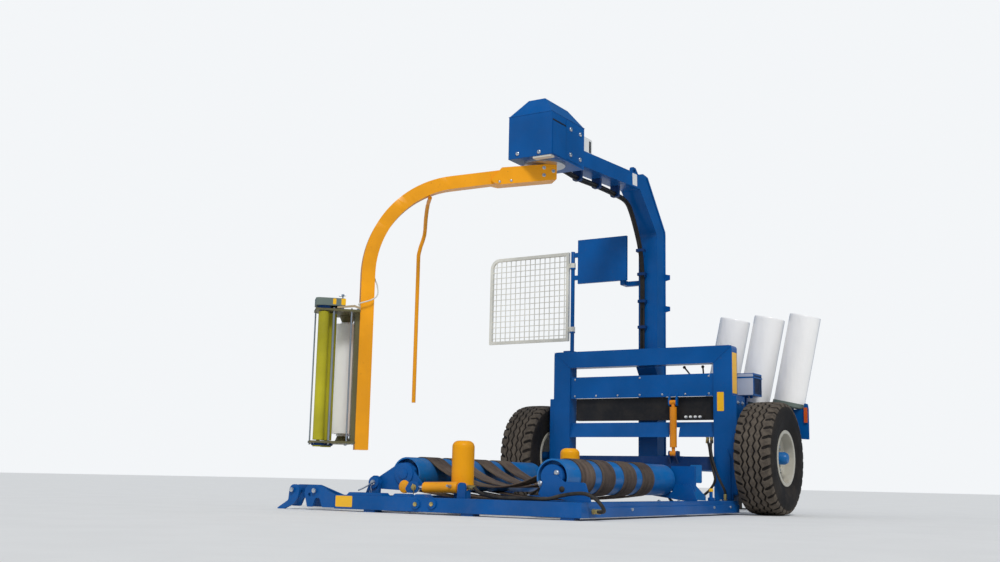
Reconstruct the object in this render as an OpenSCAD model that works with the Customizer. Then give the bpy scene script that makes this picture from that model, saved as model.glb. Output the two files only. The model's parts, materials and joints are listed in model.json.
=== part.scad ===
// Trailed satellite bale wrapper, parked on its wheels, rear skids and drawbar jack.
// X is the machine's right, Y its driving direction, Z up. Sizes are in millimetres.
// Places are measured from the turning axis of the wrap arm and moved to the origin at the end.

/* [Wheels] */
// Diameter of the tyres
tyre_d = 870; // [800:10:900]
// Width of the tyres
tyre_w = 300; // [260:10:320]
// Diameter of the rims at the bead
rim_d = 400; // [360:5:430]
// Distance of the wheels in front of the portal's rear face
axle_lead = 170; // [150:10:250]
// Distance between the two wheels' middles
track = 2060; // [2040:10:2160]
// Diameter of the axle stubs
axle_d = 80; // [60:5:90]

/* [Turntable rollers] */
// Outer diameter of the two table rollers
roller_d = 220; // [200:5:240]
// Length of the table rollers
roller_len = 1610; // [1500:10:1620]
// Space between the rollers and the side beams
roller_clear = 65; // [60:5:90]
// Height of the rollers' axes
roller_z = 250; // [245:5:260]
// Wall of the roller tubes
roller_wall = 10; // [6:1:14]
// Depth of the open ends of the roller tubes
roller_recess = 60; // [40:5:80]

/* [Turntable belts] */
// Width of each belt
belt_w = 185; // [150:5:200]
// Thickness of the belts
belt_t = 6; // [4:1:10]
// Lowest point of the upper run below the roller axes
belt_sag_top = 75; // [60:5:90]
// Lowest point of the lower run below the roller axes
belt_sag_low = 150; // [140:5:165]

/* [Frame] */
// Height of the base beams' tops
base_top = 105; // [95:5:115]
// Height of the skids under the rear beam
skid_h = 15; // [10:1:25]
// Width of the side beams
side_w = 120; // [100:10:140]
// Width of the rear beam, fore and aft
rear_w = 100; // [80:10:120]
// Distance of the rear beam's rear face behind the turning axis
rear_y = 985; // [985:5:1020]
// Clearance between the turning dispenser and the portal
turn_clear = 10; // [10:1:40]
// Height of the portal
portal_top = 1312; // [1300:4:1340]
// Width of a portal column
column_w = 155; // [140:5:180]
// Depth of a portal column, fore and aft
column_d = 120; // [100:5:140]
// Space between a tyre and the portal
tyre_space = 83; // [75:1:100]

/* [Mast and head] */
// Width of the mast and the boom
mast_w = 170; // [140:10:190]
// Depth of the mast, fore and aft
mast_d = 167; // [150:1:180]
// Distance of the mast's rear face in front of the portal's rear face
mast_lead = 173; // [165:1:190]
// Height of the boom's underside at the head
boom_z = 2560; // [2550:5:2590]
// Height of the boom's side
boom_h = 120; // [110:5:140]
// Rise of the boom from the head to the mast
boom_rise = 60; // [0:5:70]
// Half width of the head box
head_half = 178; // [170:2:200]
// Length of the head box, fore and aft
head_len = 490; // [470:5:500]
// Rear face of the head box behind the turning axis
head_rear = 215; // [205:5:230]
// Height of the head box's underside
head_z = 2485; // [2480:5:2500]
// Height of the head box's walls
head_wall_h = 315; // [300:5:330]
// Height of the head box's roof above its walls
head_roof_h = 135; // [110:5:150]

/* [Wrap arm] */
// Side of the arm's square tube
arm_tube = 92; // [80:2:100]
// Distance of the arm's hanging leg from the turning axis
arm_r = 1245; // [1235:5:1250]
// Radius of the arm's bend at mid tube
arm_bend = 700; // [660:10:720]
// Slope of the arm's upper part, degrees
arm_slope = 11.6; // [10:0.1:13]
// Height of the arm's upper part at the turning axis
arm_top = 2422; // [2415:1:2430]
// Height of the arm's lower end
arm_foot = 402; // [395:1:415]
// Direction of the arm as parked, degrees from the machine's right
arm_dir = 225; // [215:5:235]

/* [Film dispenser] */
// Length of the film rolls
film_len = 750; // [700:10:750]
// Diameter of the full film rolls
film_d = 250; // [230:5:260]
// Diameter of the roll in the dispenser
used_d = 210; // [150:10:220]
// Diameter of the stretch rollers
stretch_d = 72; // [60:2:80]
// Height of the dispenser's lower plate
unit_z = 440; // [430:2:450]
// Reach of the dispenser outward from the arm's leg
unit_out = 355; // [345:5:365]

/* [Film roll rack] */
// Distance of the rack in front of the portal's rear face
rack_lead = 640; // [620:10:690]
// Height of the rack's beam
rack_z = 800; // [780:5:820]
// Spacing of the rolls in the rack
rack_pitch = 300; // [290:5:310]
// Outward lean of the rolls, degrees
rack_lean = 12; // [8:1:13]

/* [Drawbar] */
// Distance of the towing eye in front of the portal's rear face
draw_len = 2690; // [2590:20:2790]
// Bore of the towing eye
eye_bore = 50; // [40:1:52]
// Height of the drawbar's middle
draw_z = 400; // [390:5:405]
// Side of the drawbar's square tube
draw_side = 120; // [100:5:130]

/* [Hidden] */
$fn = 48;
gap = 0.3;          // clearance between pieces that only touch
fit = 0.05;         // radial clearance of a pin in its bore

// Places that follow from the turning dispenser, the track and the portal
unit_r = arm_r + unit_out;
portal_y = unit_r + turn_clear;
mast_y = portal_y + mast_lead;
axle_y = portal_y + axle_lead;
rack_y = portal_y + rack_lead;
eye_y = portal_y + draw_len;
portal_half = (track - tyre_w) / 2 - tyre_space;
wheel_z = tyre_d / 2;
column_in = portal_half - column_w;
side_out = portal_half + 48; // outer face of the side beams
side_in = side_out - side_w;
roller_x = side_in - roller_clear - roller_d / 2;
roller_end = roller_len / 2;
rear_front = rear_y - rear_w;
side_sign = [-1, 1];

// Extremes of the machine, which centre the origin under it
guard_left = 1523;
film_lean_x = film_len * sin(rack_lean) + film_d / 2 * cos(rack_lean);
rack_first_x = portal_half - 357;
rack_last_x = rack_first_x + 2 * rack_pitch;
reach_right = rack_last_x + film_lean_x;
unit_half = 100;
unit_corner = unit_out - 7;
unit_round = 16;
reach_rear = (arm_r + unit_corner - unit_round) * sin(arm_dir - 180)
    + (unit_half - unit_round) * cos(arm_dir - 180) + unit_round;
eye_outer = 55;
origin_x = (reach_right - guard_left) / 2;
origin_y = (eye_y + eye_outer - reach_rear) / 2;

function unit(v) = v / norm(v);

// Points of an arc round c from angle a to angle b
function arc(c, r, a, b, n = 10) =
    [for (i = [0:n]) let (t = a + (b - a) * i / n) c + r * [cos(t), sin(t)]];

// Points that round the corner b between a and c with radius r
function corner(a, b, c, r, n) =
    r == 0 ? [b] :
    let (
        u = unit(a - b),
        v = unit(c - b),
        half = acos(max(-1, min(1, u * v))) / 2,
        mid = b + unit(u + v) * r / sin(half),
        p = b + u * r / tan(half) - mid,
        q = b + v * r / tan(half) - mid,
        start = atan2(p[1], p[0]),
        turn = (atan2(q[1], q[0]) - start + 540) % 360 - 180
    )
    [for (i = [0:n]) mid + r * [cos(start + turn * i / n), sin(start + turn * i / n)]];

// Outline of a table of corners [x, y, radius]
function rounded(rows, n = 5) =
    [for (i = [0:len(rows) - 1])
        let (
            before = rows[(i + len(rows) - 1) % len(rows)],
            here = rows[i],
            after = rows[(i + 1) % len(rows)]
        )
        each corner([before[0], before[1]], [here[0], here[1]], [after[0], after[1]], here[2], n)];

// Profile drawn in X and Z, standing from y0 to y1
module plate_xz(y0, y1) {
    translate([0, y1, 0]) rotate([90, 0, 0]) linear_extrude(y1 - y0) children();
}

// Profile drawn in Y and Z, standing from x0 to x1
module plate_yz(x0, x1) {
    translate([x0, 0, 0]) rotate([90, 0, 90]) linear_extrude(x1 - x0) children();
}

module rod_x(x0, x1, y, z, d) {
    translate([x0, y, z]) rotate([0, 90, 0]) cylinder(h = x1 - x0, d = d);
}

module rod_y(x, y0, y1, z, d) {
    translate([x, y1, z]) rotate([90, 0, 0]) cylinder(h = y1 - y0, d = d);
}

// Round bar from p to q
module rod(p, q, d) {
    v = q - p;
    translate(p) rotate([0, acos(v[2] / norm(v)), atan2(v[1], v[0])]) cylinder(h = norm(v), d = d);
}

module box(low, high) {
    translate(low) cube(high - low);
}

// Points on a smooth curve through a route's own points
function smooth(p, steps = 3) =
    [for (i = [0:len(p) - 2], k = [0:steps - 1])
        let (
            a = p[max(0, i - 1)],
            b = p[i],
            c = p[i + 1],
            d = p[min(len(p) - 1, i + 2)],
            t = k / steps
        )
        0.5 * (2 * b + (c - a) * t + (2 * a - 5 * b + 4 * c - d) * t * t
            + (3 * b - a - 3 * c + d) * t * t * t),
    p[len(p) - 1]];

// Hose of diameter d swept along a route, with a ring at each point
module hose(route, d, side = [0.3, 1, 0.2], n = 8) {
    p = smooth(route);
    last = len(p) - 1;
    rings = [for (i = [0:last])
        let (
            along = unit(p[min(last, i + 1)] - p[max(0, i - 1)]),
            u = unit(cross(along, side)),
            v = cross(along, u)
        )
        [for (k = [0:n - 1]) p[i] + d / 2 * (cos(360 * k / n) * u + sin(360 * k / n) * v)]];
    polyhedron(
        points = [for (ring = rings) each ring],
        faces = concat(
            [[for (k = [0:n - 1]) k]],
            [for (i = [0:last - 1], k = [0:n - 1])
                [i * n + k, (i + 1) * n + k, (i + 1) * n + (k + 1) % n, i * n + (k + 1) % n]],
            [[for (k = [n - 1:-1:0]) last * n + k]]
        )
    );
}

// Moves everything from the turning axis to the origin under the machine's middle
module placed() {
    translate([-origin_x, -origin_y, 0]) children();
}

// Turns a piece of the wrap arm, drawn with its radius along X, to its parked direction
module on_arm() {
    placed() rotate([0, 0, arm_dir]) children();
}

// Wheels
rim_w = tyre_w - 50;
tread_r = tyre_d / 2;
shoulder = 60;
// Profile of the tyre's outer half: radius, half width, rounding
tyre_rows = [
    [rim_d / 2, rim_w / 2, 0],
    [rim_d / 2 + 35, rim_w / 2 + 8, 12],
    [(tread_r + rim_d / 2) / 2 + 10, tyre_w / 2, 60],
    [tread_r - 18, tyre_w / 2 - 12, 16],
    [tread_r, tyre_w / 2 - shoulder, 30]
];

module tyre(side) {
    last = len(tyre_rows) - 1;
    other = [for (i = [last:-1:0]) [tyre_rows[i][0], -tyre_rows[i][1], tyre_rows[i][2]]];
    color([0.16, 0.15, 0.14]) placed() translate([side * track / 2, axle_y, wheel_z]) rotate([0, 90, 0])
        rotate_extrude($fn = 72) polygon(rounded(concat(tyre_rows, other)));
}

bolt_pcd = 205;
bolt_count = 6;
dish_out = 42;      // outer face of the rim's dish from the wheel's middle plane
hub_r = 47;
hub_out = 145;      // outer end of the hub's cap

module wheel_place(side) {
    translate([side * track / 2, axle_y, wheel_z]) rotate([0, side * 90, 0]) children();
}

module rim(side) {
    r = rim_d / 2 - gap;
    edge = rim_w / 2 + 12;
    color([0.93, 0.92, 0.88]) placed() wheel_place(side) {
        rotate_extrude($fn = 72) polygon(rounded([
            [r, -rim_w / 2, 0], [r, -50, 6], [r - 30, -40, 8], [r - 30, 40, 8], [r, 50, 6],
            [r, rim_w / 2, 0], [r + 16, rim_w / 2 + 4, 3], [r + 16, edge, 3], [r - 10, edge, 4],
            [r - 10, 56, 6], [r - 40, 44, 8], [r - 40, 6, 10], [125, dish_out, 14],
            [axle_d / 2 + fit, dish_out, 0], [axle_d / 2 + fit, 30, 0], [123, 30, 14],
            [r - 40, -12, 10], [r - 40, -44, 8], [r - 10, -56, 6], [r - 10, -edge, 4],
            [r + 16, -edge, 3], [r + 16, -rim_w / 2 - 4, 3]
        ], 3));
        rotate_extrude() polygon(rounded([
            [0, dish_out, 0], [hub_r + 6, dish_out, 0], [hub_r + 6, dish_out + 12, 3],
            [hub_r, dish_out + 18, 3], [hub_r, hub_out - 22, 12], [hub_r - 12, hub_out, 12], [0, hub_out, 0]
        ], 3));
        for (i = [0:bolt_count - 1]) rotate([0, 0, 360 * i / bolt_count])
            translate([bolt_pcd / 2, 0, dish_out]) cylinder(h = 16, d = 26, $fn = 6);
    }
}

// Stub axles and their carriers on the portal columns
carrier_out = portal_half + 34;
module axle_stubs() {
    color([0.05, 0.2, 0.45]) placed() for (side = side_sign) scale([side, 1, 1]) {
        plate_yz(portal_half + gap, carrier_out) polygon(rounded([
            [portal_y, 130, 20], [axle_y + 110, wheel_z - 135, 60], [axle_y + 110, wheel_z + 125, 50],
            [portal_y + column_d + 60, panel_low, 25], [portal_y, panel_low, 10]
        ]));
        rod_x(carrier_out - 1, track / 2 + dish_out - gap, axle_y, wheel_z, axle_d);
        rod_x(carrier_out - 1, track / 2 - tyre_w / 2 + 10, axle_y, wheel_z, axle_d + 50);
    }
}

// Base frame
hook_x = -side_out - 155; // left end of the rear beam
module rear_beam() {
    color([0, 0.3, 0.57]) placed() {
        box([hook_x, -rear_y, skid_h], [side_out, -rear_front, base_top]);
        for (x = [-side_out + 85, 0, side_out - 145])
            box([x, -rear_y + 10, 0], [x + 90, -rear_front - 10, skid_h + 1]);
    }
}

module side_beams() {
    color([0, 0.3, 0.57]) placed() for (side = side_sign) scale([side, 1, 1])
        plate_xz(-rear_front + gap, portal_y - gap) polygon(rounded([
            [side_in, skid_h, 4], [side_out, skid_h, 4], [side_out, base_top - 30, 3],
            [side_out - 8, base_top - 26, 0], [side_out - 8, base_top, 4], [side_in, base_top, 4]
        ], 2));
}

// Lobed hook plates at the left end of the rear beam: near one, then the one behind it
hook_pin_d = 34;
hook_top = base_top + 61;
hook_low = 20;
module hook_plates() {
    color([0, 0.3, 0.57]) placed() {
        plate_xz(-rear_y, -rear_y + 18) difference() {
            polygon(rounded([
                [hook_x - gap, base_top, 0], [hook_x - 60, base_top + 23, 60], [hook_x - 120, hook_top, 50],
                [hook_x - 250, hook_top, 45], [hook_x - 262, base_top + 5, 30], [hook_x - 235, hook_low, 8],
                [hook_x - 190, hook_low, 14], [hook_x - 165, 80, 20], [hook_x - 130, 80, 20],
                [hook_x - 105, hook_low, 14], [hook_x - gap, hook_low, 0]
            ]));
            translate([hook_x - 217, base_top - 5]) circle(d = 26);
        }
        plate_xz(-rear_front - 18, -rear_front) polygon(rounded([
            [hook_x - gap, base_top, 0], [hook_x - 200, hook_top, 40], [hook_x - 430, hook_top, 60],
            [hook_x - 450, hook_low, 14], [hook_x - 370, hook_low, 14], [hook_x - 340, 80, 20],
            [hook_x - 290, 80, 20], [hook_x - 260, hook_low, 14], [hook_x - gap, hook_low, 0]
        ]));
        rod_y(hook_x - 168, -rear_y - 12, -rear_front + 12, base_top + 23, hook_pin_d);
        rod_y(hook_x - 366, -rear_y - 12, -rear_front + 12, base_top + 25, hook_pin_d);
        plate_xz(-rear_y, -rear_y + 18) polygon(rounded([
            [hook_x - 300, hook_top, 40], [hook_x - 395, hook_top, 40], [hook_x - 405, 60, 20],
            [hook_x - 510, 0, 4], [hook_x - 440, 0, 8], [hook_x - 350, 40, 20], [hook_x - 320, 80, 20]
        ]));
    }
}

// Portal: two columns and the top beam, mitred at its corners
top_beam_z = 1175;
module portal() {
    color([0, 0.3, 0.57]) placed() {
        plate_xz(portal_y, portal_y + column_d) difference() {
            polygon(rounded([
                [-portal_half, skid_h, 6], [portal_half, skid_h, 6], [portal_half, portal_top, 22],
                [-portal_half, portal_top, 22]
            ], 3));
            polygon([[-column_in, 0], [column_in, 0], [column_in, top_beam_z], [-column_in, top_beam_z]]);
        }
        plate_yz(-mast_w / 2, mast_w / 2)
            polygon([[portal_y + column_d - 1, top_beam_z + 8], [mast_y - gap, top_beam_z - 60],
                [mast_y - gap, portal_top], [portal_y + column_d - 1, portal_top - 8]]);
    }
}

// Panel, dark recess with the valves, and the sloped plate under it
panel_top = 1094;
panel_low = 915;
recess_low = 730;
slope_low = 592;
slope_top = 712;
module control_panel() {
    color([0, 0.28, 0.53]) placed() {
        box([-column_in + gap, portal_y + 12, panel_low], [column_in - gap, portal_y + 24, panel_top]);
        difference() {
            plate_yz(-column_in + gap, column_in - gap) polygon([
                [portal_y + 8, slope_low], [portal_y + 20, slope_low], [portal_y + 62, slope_top],
                [portal_y + 50, slope_top]
            ]);
            box([lift_x - 42, portal_y, slope_low - 1], [lift_x + 42, portal_y + 70, slope_low + 78]);
        }
        for (x = [lift_x - lug_half, lift_x + lug_half - lug_t]) plate_yz(x, x + lug_t) polygon(rounded([
            [portal_y + 13, panel_low + 30, 0], [portal_y + 13, recess_low + 110, 6],
            [lift_y - 16, recess_low + 110, 14], [lift_y - 16, panel_low - 22, 14]
        ]));
    }
}

module valve_recess() {
    color([0.05, 0.05, 0.06]) placed()
        box([-column_in + 40, portal_y + 45, recess_low], [column_in - gap, portal_y + 110, panel_low - gap]);
}

// Low cross beam of the portal, with a pair of lugs for the lift cylinder
low_z = 335;
low_top = 440;
lift_x = 300;
lift_y = portal_y + 2;
lift_pin_z = low_top + 22;
lift_head_z = recess_low + 138;
lug_half = 38;
lug_t = 12;
module low_beam() {
    color([0, 0.22, 0.45]) placed() {
        box([-column_in + gap, portal_y + 25, low_z], [column_in - gap, portal_y + 95, low_top]);
        for (x = [lift_x - lug_half, lift_x + lug_half - lug_t]) plate_yz(x, x + lug_t) polygon(rounded([
            [portal_y + 45, low_z + 20, 0], [portal_y + 45, low_top + 40, 8], [lift_y - 20, low_top + 44, 18],
            [lift_y - 20, low_top - 6, 18]
        ]));
    }
}

// Lift cylinder between the low beam's lugs and those under the panel
lift_d = 56;
module lift_cylinder() {
    eye_half = lug_half - lug_t - gap;
    color([0.95, 0.55, 0.05]) placed() {
        translate([lift_x, lift_y, lift_pin_z + 48]) cylinder(h = lift_head_z - lift_pin_z - 86, d = lift_d);
        for (z = [lift_pin_z + 10, lift_head_z - 60]) translate([lift_x, lift_y, z]) cylinder(h = 50, d = 28);
        for (z = [lift_pin_z, lift_head_z]) rod_x(lift_x - eye_half, lift_x + eye_half, lift_y, z, 38);
    }
}

// Mast with its kinked top and the boom, one plate work box
kink_z = boom_z - 260;
slant_y = mast_y - 343;
tip_z = boom_z + 264;
mast_top = tip_z - 62;
boom_start = head_len - head_rear;
module mast() {
    color([0, 0.3, 0.57]) placed() {
        plate_yz(-mast_w / 2, mast_w / 2) polygon(rounded([
            [mast_y, low_z, 6], [mast_y + mast_d, low_z, 6], [mast_y + mast_d, kink_z + 55, 60],
            [slant_y + 145, mast_top - 8, 30], [slant_y + 60, mast_top, 30],
            [slant_y + 10, boom_z + boom_rise + boom_h, 10],
            [boom_start + gap, boom_z + boom_h, 0], [boom_start + gap, boom_z, 0],
            [slant_y, boom_z + boom_rise, 40], [mast_y, kink_z, 60]
        ]));
        plate_yz(-12, 12) difference() {
            polygon(rounded([[slant_y + 150, mast_top - 60, 0], [slant_y + 150, mast_top, 20],
                [slant_y + 75, tip_z, 30], [slant_y + 10, tip_z, 30], [slant_y - 20, mast_top - 60, 0]]));
            translate([slant_y + 47, tip_z - 34]) circle(d = 34);
        }
    }
}

// Head box with a hipped roof
module head_box() {
    front = head_len - head_rear;
    eave = head_z + head_wall_h;
    color([0, 0.3, 0.57]) placed() {
        box([-head_half, -head_rear, head_z], [head_half, front, eave]);
        polyhedron(
            points = [
                [-head_half, -head_rear, eave], [head_half, -head_rear, eave],
                [head_half, front, eave], [-head_half, front, eave],
                [-head_half + 110, -head_rear + 90, eave + head_roof_h],
                [head_half - 110, -head_rear + 90, eave + head_roof_h],
                [head_half - 110, front - 60, eave + head_roof_h],
                [-head_half + 110, front - 60, eave + head_roof_h]
            ],
            faces = [[0, 1, 2, 3], [4, 7, 6, 5], [0, 4, 5, 1], [1, 5, 6, 2], [2, 6, 7, 3], [3, 7, 4, 0]]
        );
    }
}

// Belts that loop round both rollers and sag between them
roller_r = roller_d / 2;
top_low = -belt_sag_top;
top_r = (pow(roller_x, 2) + pow(top_low, 2) - pow(roller_r, 2)) / (2 * (roller_r - top_low));
top_c = top_low + top_r;
low_r = (pow(roller_x, 2) + pow(belt_sag_low, 2) - pow(roller_r, 2)) / (2 * (belt_sag_low - roller_r));
low_c = low_r - belt_sag_low;
function belt_line(out) =
    let (
        r = roller_r + gap + out,
        a = atan2(top_c, -roller_x),
        b = atan2(-low_c, roller_x)
    )
    concat(
        arc([roller_x, 0], r, a, b, 36),
        arc([0, low_c], low_r + gap + out, b, -180 - b, 12),
        arc([-roller_x, 0], r, -180 - b, -180 - a, 36),
        arc([0, top_c], top_r - gap - out, -a, a - 180, 12)
    );
// Middles of the belts along the rollers
belt_y = [-roller_end + 260, -260, 60, roller_end - 460];
module table_belts() {
    color([0.2, 0.17, 0.15]) placed() for (y = belt_y) translate([0, 0, roller_z])
        plate_xz(y - belt_w / 2, y + belt_w / 2) difference() {
            polygon(belt_line(belt_t));
            polygon(belt_line(0));
        }
}

// Table roller: a tube with a disc set back in each open end
module table_roller(x) {
    color([0.02, 0.36, 0.66]) placed() translate([x, -roller_end, roller_z]) rotate([-90, 0, 0])
        rotate_extrude() {
            for (z = [roller_recess, roller_len - roller_recess - 12])
                translate([roller_pin_r, z]) square([roller_r - roller_pin_r - 1, 12]);
            translate([roller_r - roller_wall, 0]) square([roller_wall, roller_len]);
        }
}
roller_pin_r = 25 + gap;

// Fixed brackets of the right roller, with hub discs that reach into its open ends
bracket_t = 12;
module roller_brackets() {
    color([0, 0.3, 0.57]) placed() for (s = side_sign) scale([1, s, 1]) {
        plate_xz(roller_end + 8, roller_end + 8 + bracket_t) difference() {
            polygon(rounded([
                [roller_x - 90, roller_z - 110, 10], [side_in, base_top + gap, 0],
                [side_out - 22, base_top + gap, 0], [side_out - 38, roller_z - 104, 20],
                [side_out - 62, roller_z - 31, 22], [roller_x + 90, roller_z - 28, 10],
                [roller_x + 40, roller_z + 12, 20], [roller_x - 30, roller_z + 12, 20]
            ]));
            translate([roller_x + 76, roller_z - 74]) circle(d = 22);
        }
        rod_y(roller_x, roller_end - roller_recess + 6, roller_end + 9, roller_z, 150);
        rod_y(roller_x, roller_end - roller_recess - 20, roller_end - roller_recess + 7, roller_z, 50);
    }
}

// Hydraulic motor and housing at the front end of the right roller
drive_d = 90;
module roller_drive() {
    color([0.1, 0.42, 0.72]) placed() {
        rod_y(roller_x, roller_end + 20 + gap, roller_end + 60, roller_z, 190);
        box([roller_x + 70, roller_end + 22, 170], [roller_x + 250, roller_end + 55, 350]);
        rod_y(roller_x, roller_end + 59, roller_end + 190, roller_z, drive_d);
    }
}

// Left roller on its swinging arms, turning about a tube on the left side beam
pivot_x = -side_in - 40;
pivot_z = roller_z - 60;
pivot_d = 66;
arm_t = 14;
module swing_bearings() {
    color([0, 0.3, 0.57]) placed() {
        for (y = [[-roller_end - 60, -roller_end - 34], [roller_end + 34, roller_end + 60]])
            plate_xz(y[0], y[1]) difference() {
                polygon(rounded([
                    [-side_out + 4, base_top + gap, 0], [-side_in - 4, base_top + gap, 0],
                    [pivot_x + 40, pivot_z, 30], [pivot_x + 20, pivot_z + 46, 30],
                    [pivot_x - 20, pivot_z + 46, 30], [pivot_x - 40, pivot_z, 30]
                ]));
                translate([pivot_x, pivot_z]) circle(d = 36 + 2 * fit);
            }
    }
}

eye_x = -roller_x + 110; // rod's eye on the swing arm
eye_z = roller_z - 85;
eye_pin_d = 24;
// Upper corners of both arms: place and rounding
swing_top = [
    [-roller_x + 75, roller_z + 20, 40], [-roller_x + 40, roller_z + 72, 40],
    [-roller_x - 40, roller_z + 72, 40], [pivot_x + 10, pivot_z + 40, 20], [pivot_x - 36, pivot_z + 36, 20]
];
module swing_arms() {
    color([0, 0.3, 0.57]) placed() {
        rod_y(pivot_x, -roller_end - 62, roller_end + 62, pivot_z, 36);
        rod_y(pivot_x, -roller_end - 30, roller_end + 30, pivot_z, pivot_d);
        plate_xz(-roller_end - 8 - arm_t, -roller_end - 8) polygon(rounded(concat([
            [pivot_x - 38, pivot_z - 10, 24], [pivot_x + 10, pivot_z - 40, 20], [eye_x + 32, eye_z - 26, 24],
            [eye_x + 38, eye_z + 20, 24]], swing_top)));
        plate_xz(roller_end + 8, roller_end + 8 + arm_t) polygon(rounded(concat([
            [pivot_x - 38, pivot_z - 10, 24], [pivot_x + 10, pivot_z - 40, 20],
            [-roller_x + 50, roller_z - 68, 40]], swing_top)));
        for (s = side_sign) scale([1, s, 1]) {
            rod_y(-roller_x, roller_end - roller_recess + 6, roller_end + 9, roller_z, 150);
            rod_y(-roller_x, roller_end - roller_recess - 20, roller_end - roller_recess + 7, roller_z, 50);
        }
        rod_y(eye_x, -roller_end - 62, -roller_end - 8, eye_z, eye_pin_d);
    }
}

// Swing cylinder: base eye on the rear beam's stand, rod's eye open at the arm's pin
base_x = -60;
base_z = roller_z - 75;
cyl_y = -roller_end - 42;
cyl_d = 58;
cyl_rest = atan2(base_z - eye_z, base_x - eye_x);
barrel_len = base_x - eye_x - 90;
module swing_cylinder() {
    color([0.98, 0.65, 0.05]) placed() translate([base_x, cyl_y, base_z]) rotate([0, 180 - cyl_rest, 0]) {
        difference() {
            union() {
                rod_y(0, -12, 12, 0, 52);
                box([18, -12, -18], [47, 12, 18]);
                rod_x(45, barrel_len, 0, 0, cyl_d);
            }
            rod_y(0, -13, 13, 0, 24 + 2 * fit);
            rod_x(60, barrel_len + 1, 0, 0, 28 + 2 * fit);
        }
    }
}

// Bore of the rod's eye, wide enough for its drift from the pin at half travel
eye_bore_d = eye_pin_d + 20;
module swing_rod() {
    reach = norm([base_x - eye_x, base_z - eye_z]);
    color([0.8, 0.8, 0.8]) placed() translate([base_x, cyl_y, base_z]) rotate([0, 180 - cyl_rest, 0]) {
        difference() {
            union() {
                rod_y(reach, -12, 12, 0, eye_bore_d + 14);
                rod_x(130, reach - 24, 0, 0, 28);
            }
            rod_y(reach, -13, 13, 0, eye_bore_d);
        }
    }
}

// Guide rollers that keep a bale on the belts, and their stands
guide_d = 145;
guide_x = -157;
guide_y = roller_end - 80;
guide_low = 170;
guide_top = 470;
guide_pin = 40;
module guide_stands() {
    color([0, 0.3, 0.57]) placed() {
        for (s = side_sign) scale([1, s, 1]) {
            translate([guide_x, guide_y, base_top - 45])
                cylinder(h = guide_low - base_top + 45 - gap, d = 110);
            translate([guide_x, guide_y, guide_low - 1]) cylinder(h = 200, d = guide_pin);
            box([guide_x - 50, guide_y, base_top - 45], [guide_x + 50, rear_front - gap, base_top - 20]);
        }
        box([-side_in + gap, rear_front - 45, 30], [side_in - gap, rear_front + 15, 75]);
        plate_xz(-rear_front + gap, -rear_front + gap + 18) polygon(rounded([
            [base_x - 34, 40, 6], [base_x + 34, 40, 6], [base_x + 28, base_z + 28, 24],
            [base_x - 28, base_z + 28, 24]
        ]));
        rod_y(base_x, -rear_front + 10, cyl_y + 24, base_z, 24);
    }
}

module guide_roller(s) {
    r = guide_d / 2;
    color([1, 0.63, 0.05]) placed() translate([guide_x, s * guide_y, guide_low]) rotate_extrude()
        polygon(concat(
            [[guide_pin / 2 + fit, 0], [r, 0]],
            arc([r - 40, guide_top - guide_low - 40], 40, 0, 90, 6),
            [[0, guide_top - guide_low], [0, 205], [guide_pin / 2 + fit, 205]]
        ));
}

// Rotor under the head, and the arm's root block
module rotor() {
    top = arm_top + 46 + gap;
    color([0.75, 0.76, 0.8]) on_arm() translate([0, 0, top]) cylinder(h = head_z - gap - top, d = 300);
}

arm_turn = 90 - arm_slope;
arm_mid = [arm_r - arm_bend, arm_top - arm_r * tan(arm_slope) - arm_bend * tan(arm_turn / 2)];
root_half = 62;
tube_start = 40;
// Height of the sloping upper part's middle at radius r
function arm_z(r) = arm_top - r * tan(arm_slope);
module wrap_arm() {
    h = arm_tube / 2;
    up = h / cos(arm_slope);
    color([1, 0.65, 0.08]) on_arm() {
        plate_xz(-h, h) polygon(concat(
            [[tube_start, arm_z(tube_start) + up]],
            arc(arm_mid, arm_bend + h, arm_turn, 0, 24),
            [[arm_r + h, arm_foot], [arm_r - h, arm_foot]],
            arc(arm_mid, arm_bend - h, 0, arm_turn, 24),
            [[tube_start, arm_z(tube_start) - up]]
        ));
        plate_xz(-root_half, root_half) polygon(rounded([
            [-root_half - 13, arm_top + 46, 6], [0, arm_top + 46, 0], [330, arm_z(330) + 62, 10],
            [420, arm_z(420) - 30, 20], [330, arm_z(330) - 62, 12], [-root_half - 13, arm_top - 62, 6]
        ]));
    }
}

// Safety bar that runs ahead of the arm
bar_d = 28;
lead = 29;          // degrees ahead of the arm
function around(r, a, z) = [r * cos(a), r * sin(a), z];
bar_r = arm_r - 415; // where it hangs under the arm's bend
bar_end_r = arm_r - 300;
bend_in = arm_bend - arm_tube / 2;
bar_z = arm_mid[1] + sqrt(pow(bend_in, 2) - pow(bar_r - arm_mid[0], 2)) - bar_d / 2 - 1.5;
bar_foot = 760;
bar_route = [
    around(bar_r, 0, bar_z), around(bar_r + 5, -10, bar_z - 24), around(bar_r + 30, -20, bar_z - 89),
    around(bar_r + 75, -lead, bar_z - 179), around(bar_end_r - 3, -lead, bar_z - 309),
    around(bar_end_r, -lead, bar_z - 469), around(bar_end_r, -lead, bar_foot)
];
module safety_bar() {
    color([1, 0.65, 0.08]) on_arm() hose(bar_route, bar_d, [0, 1, 0.2], 12);
}

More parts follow.
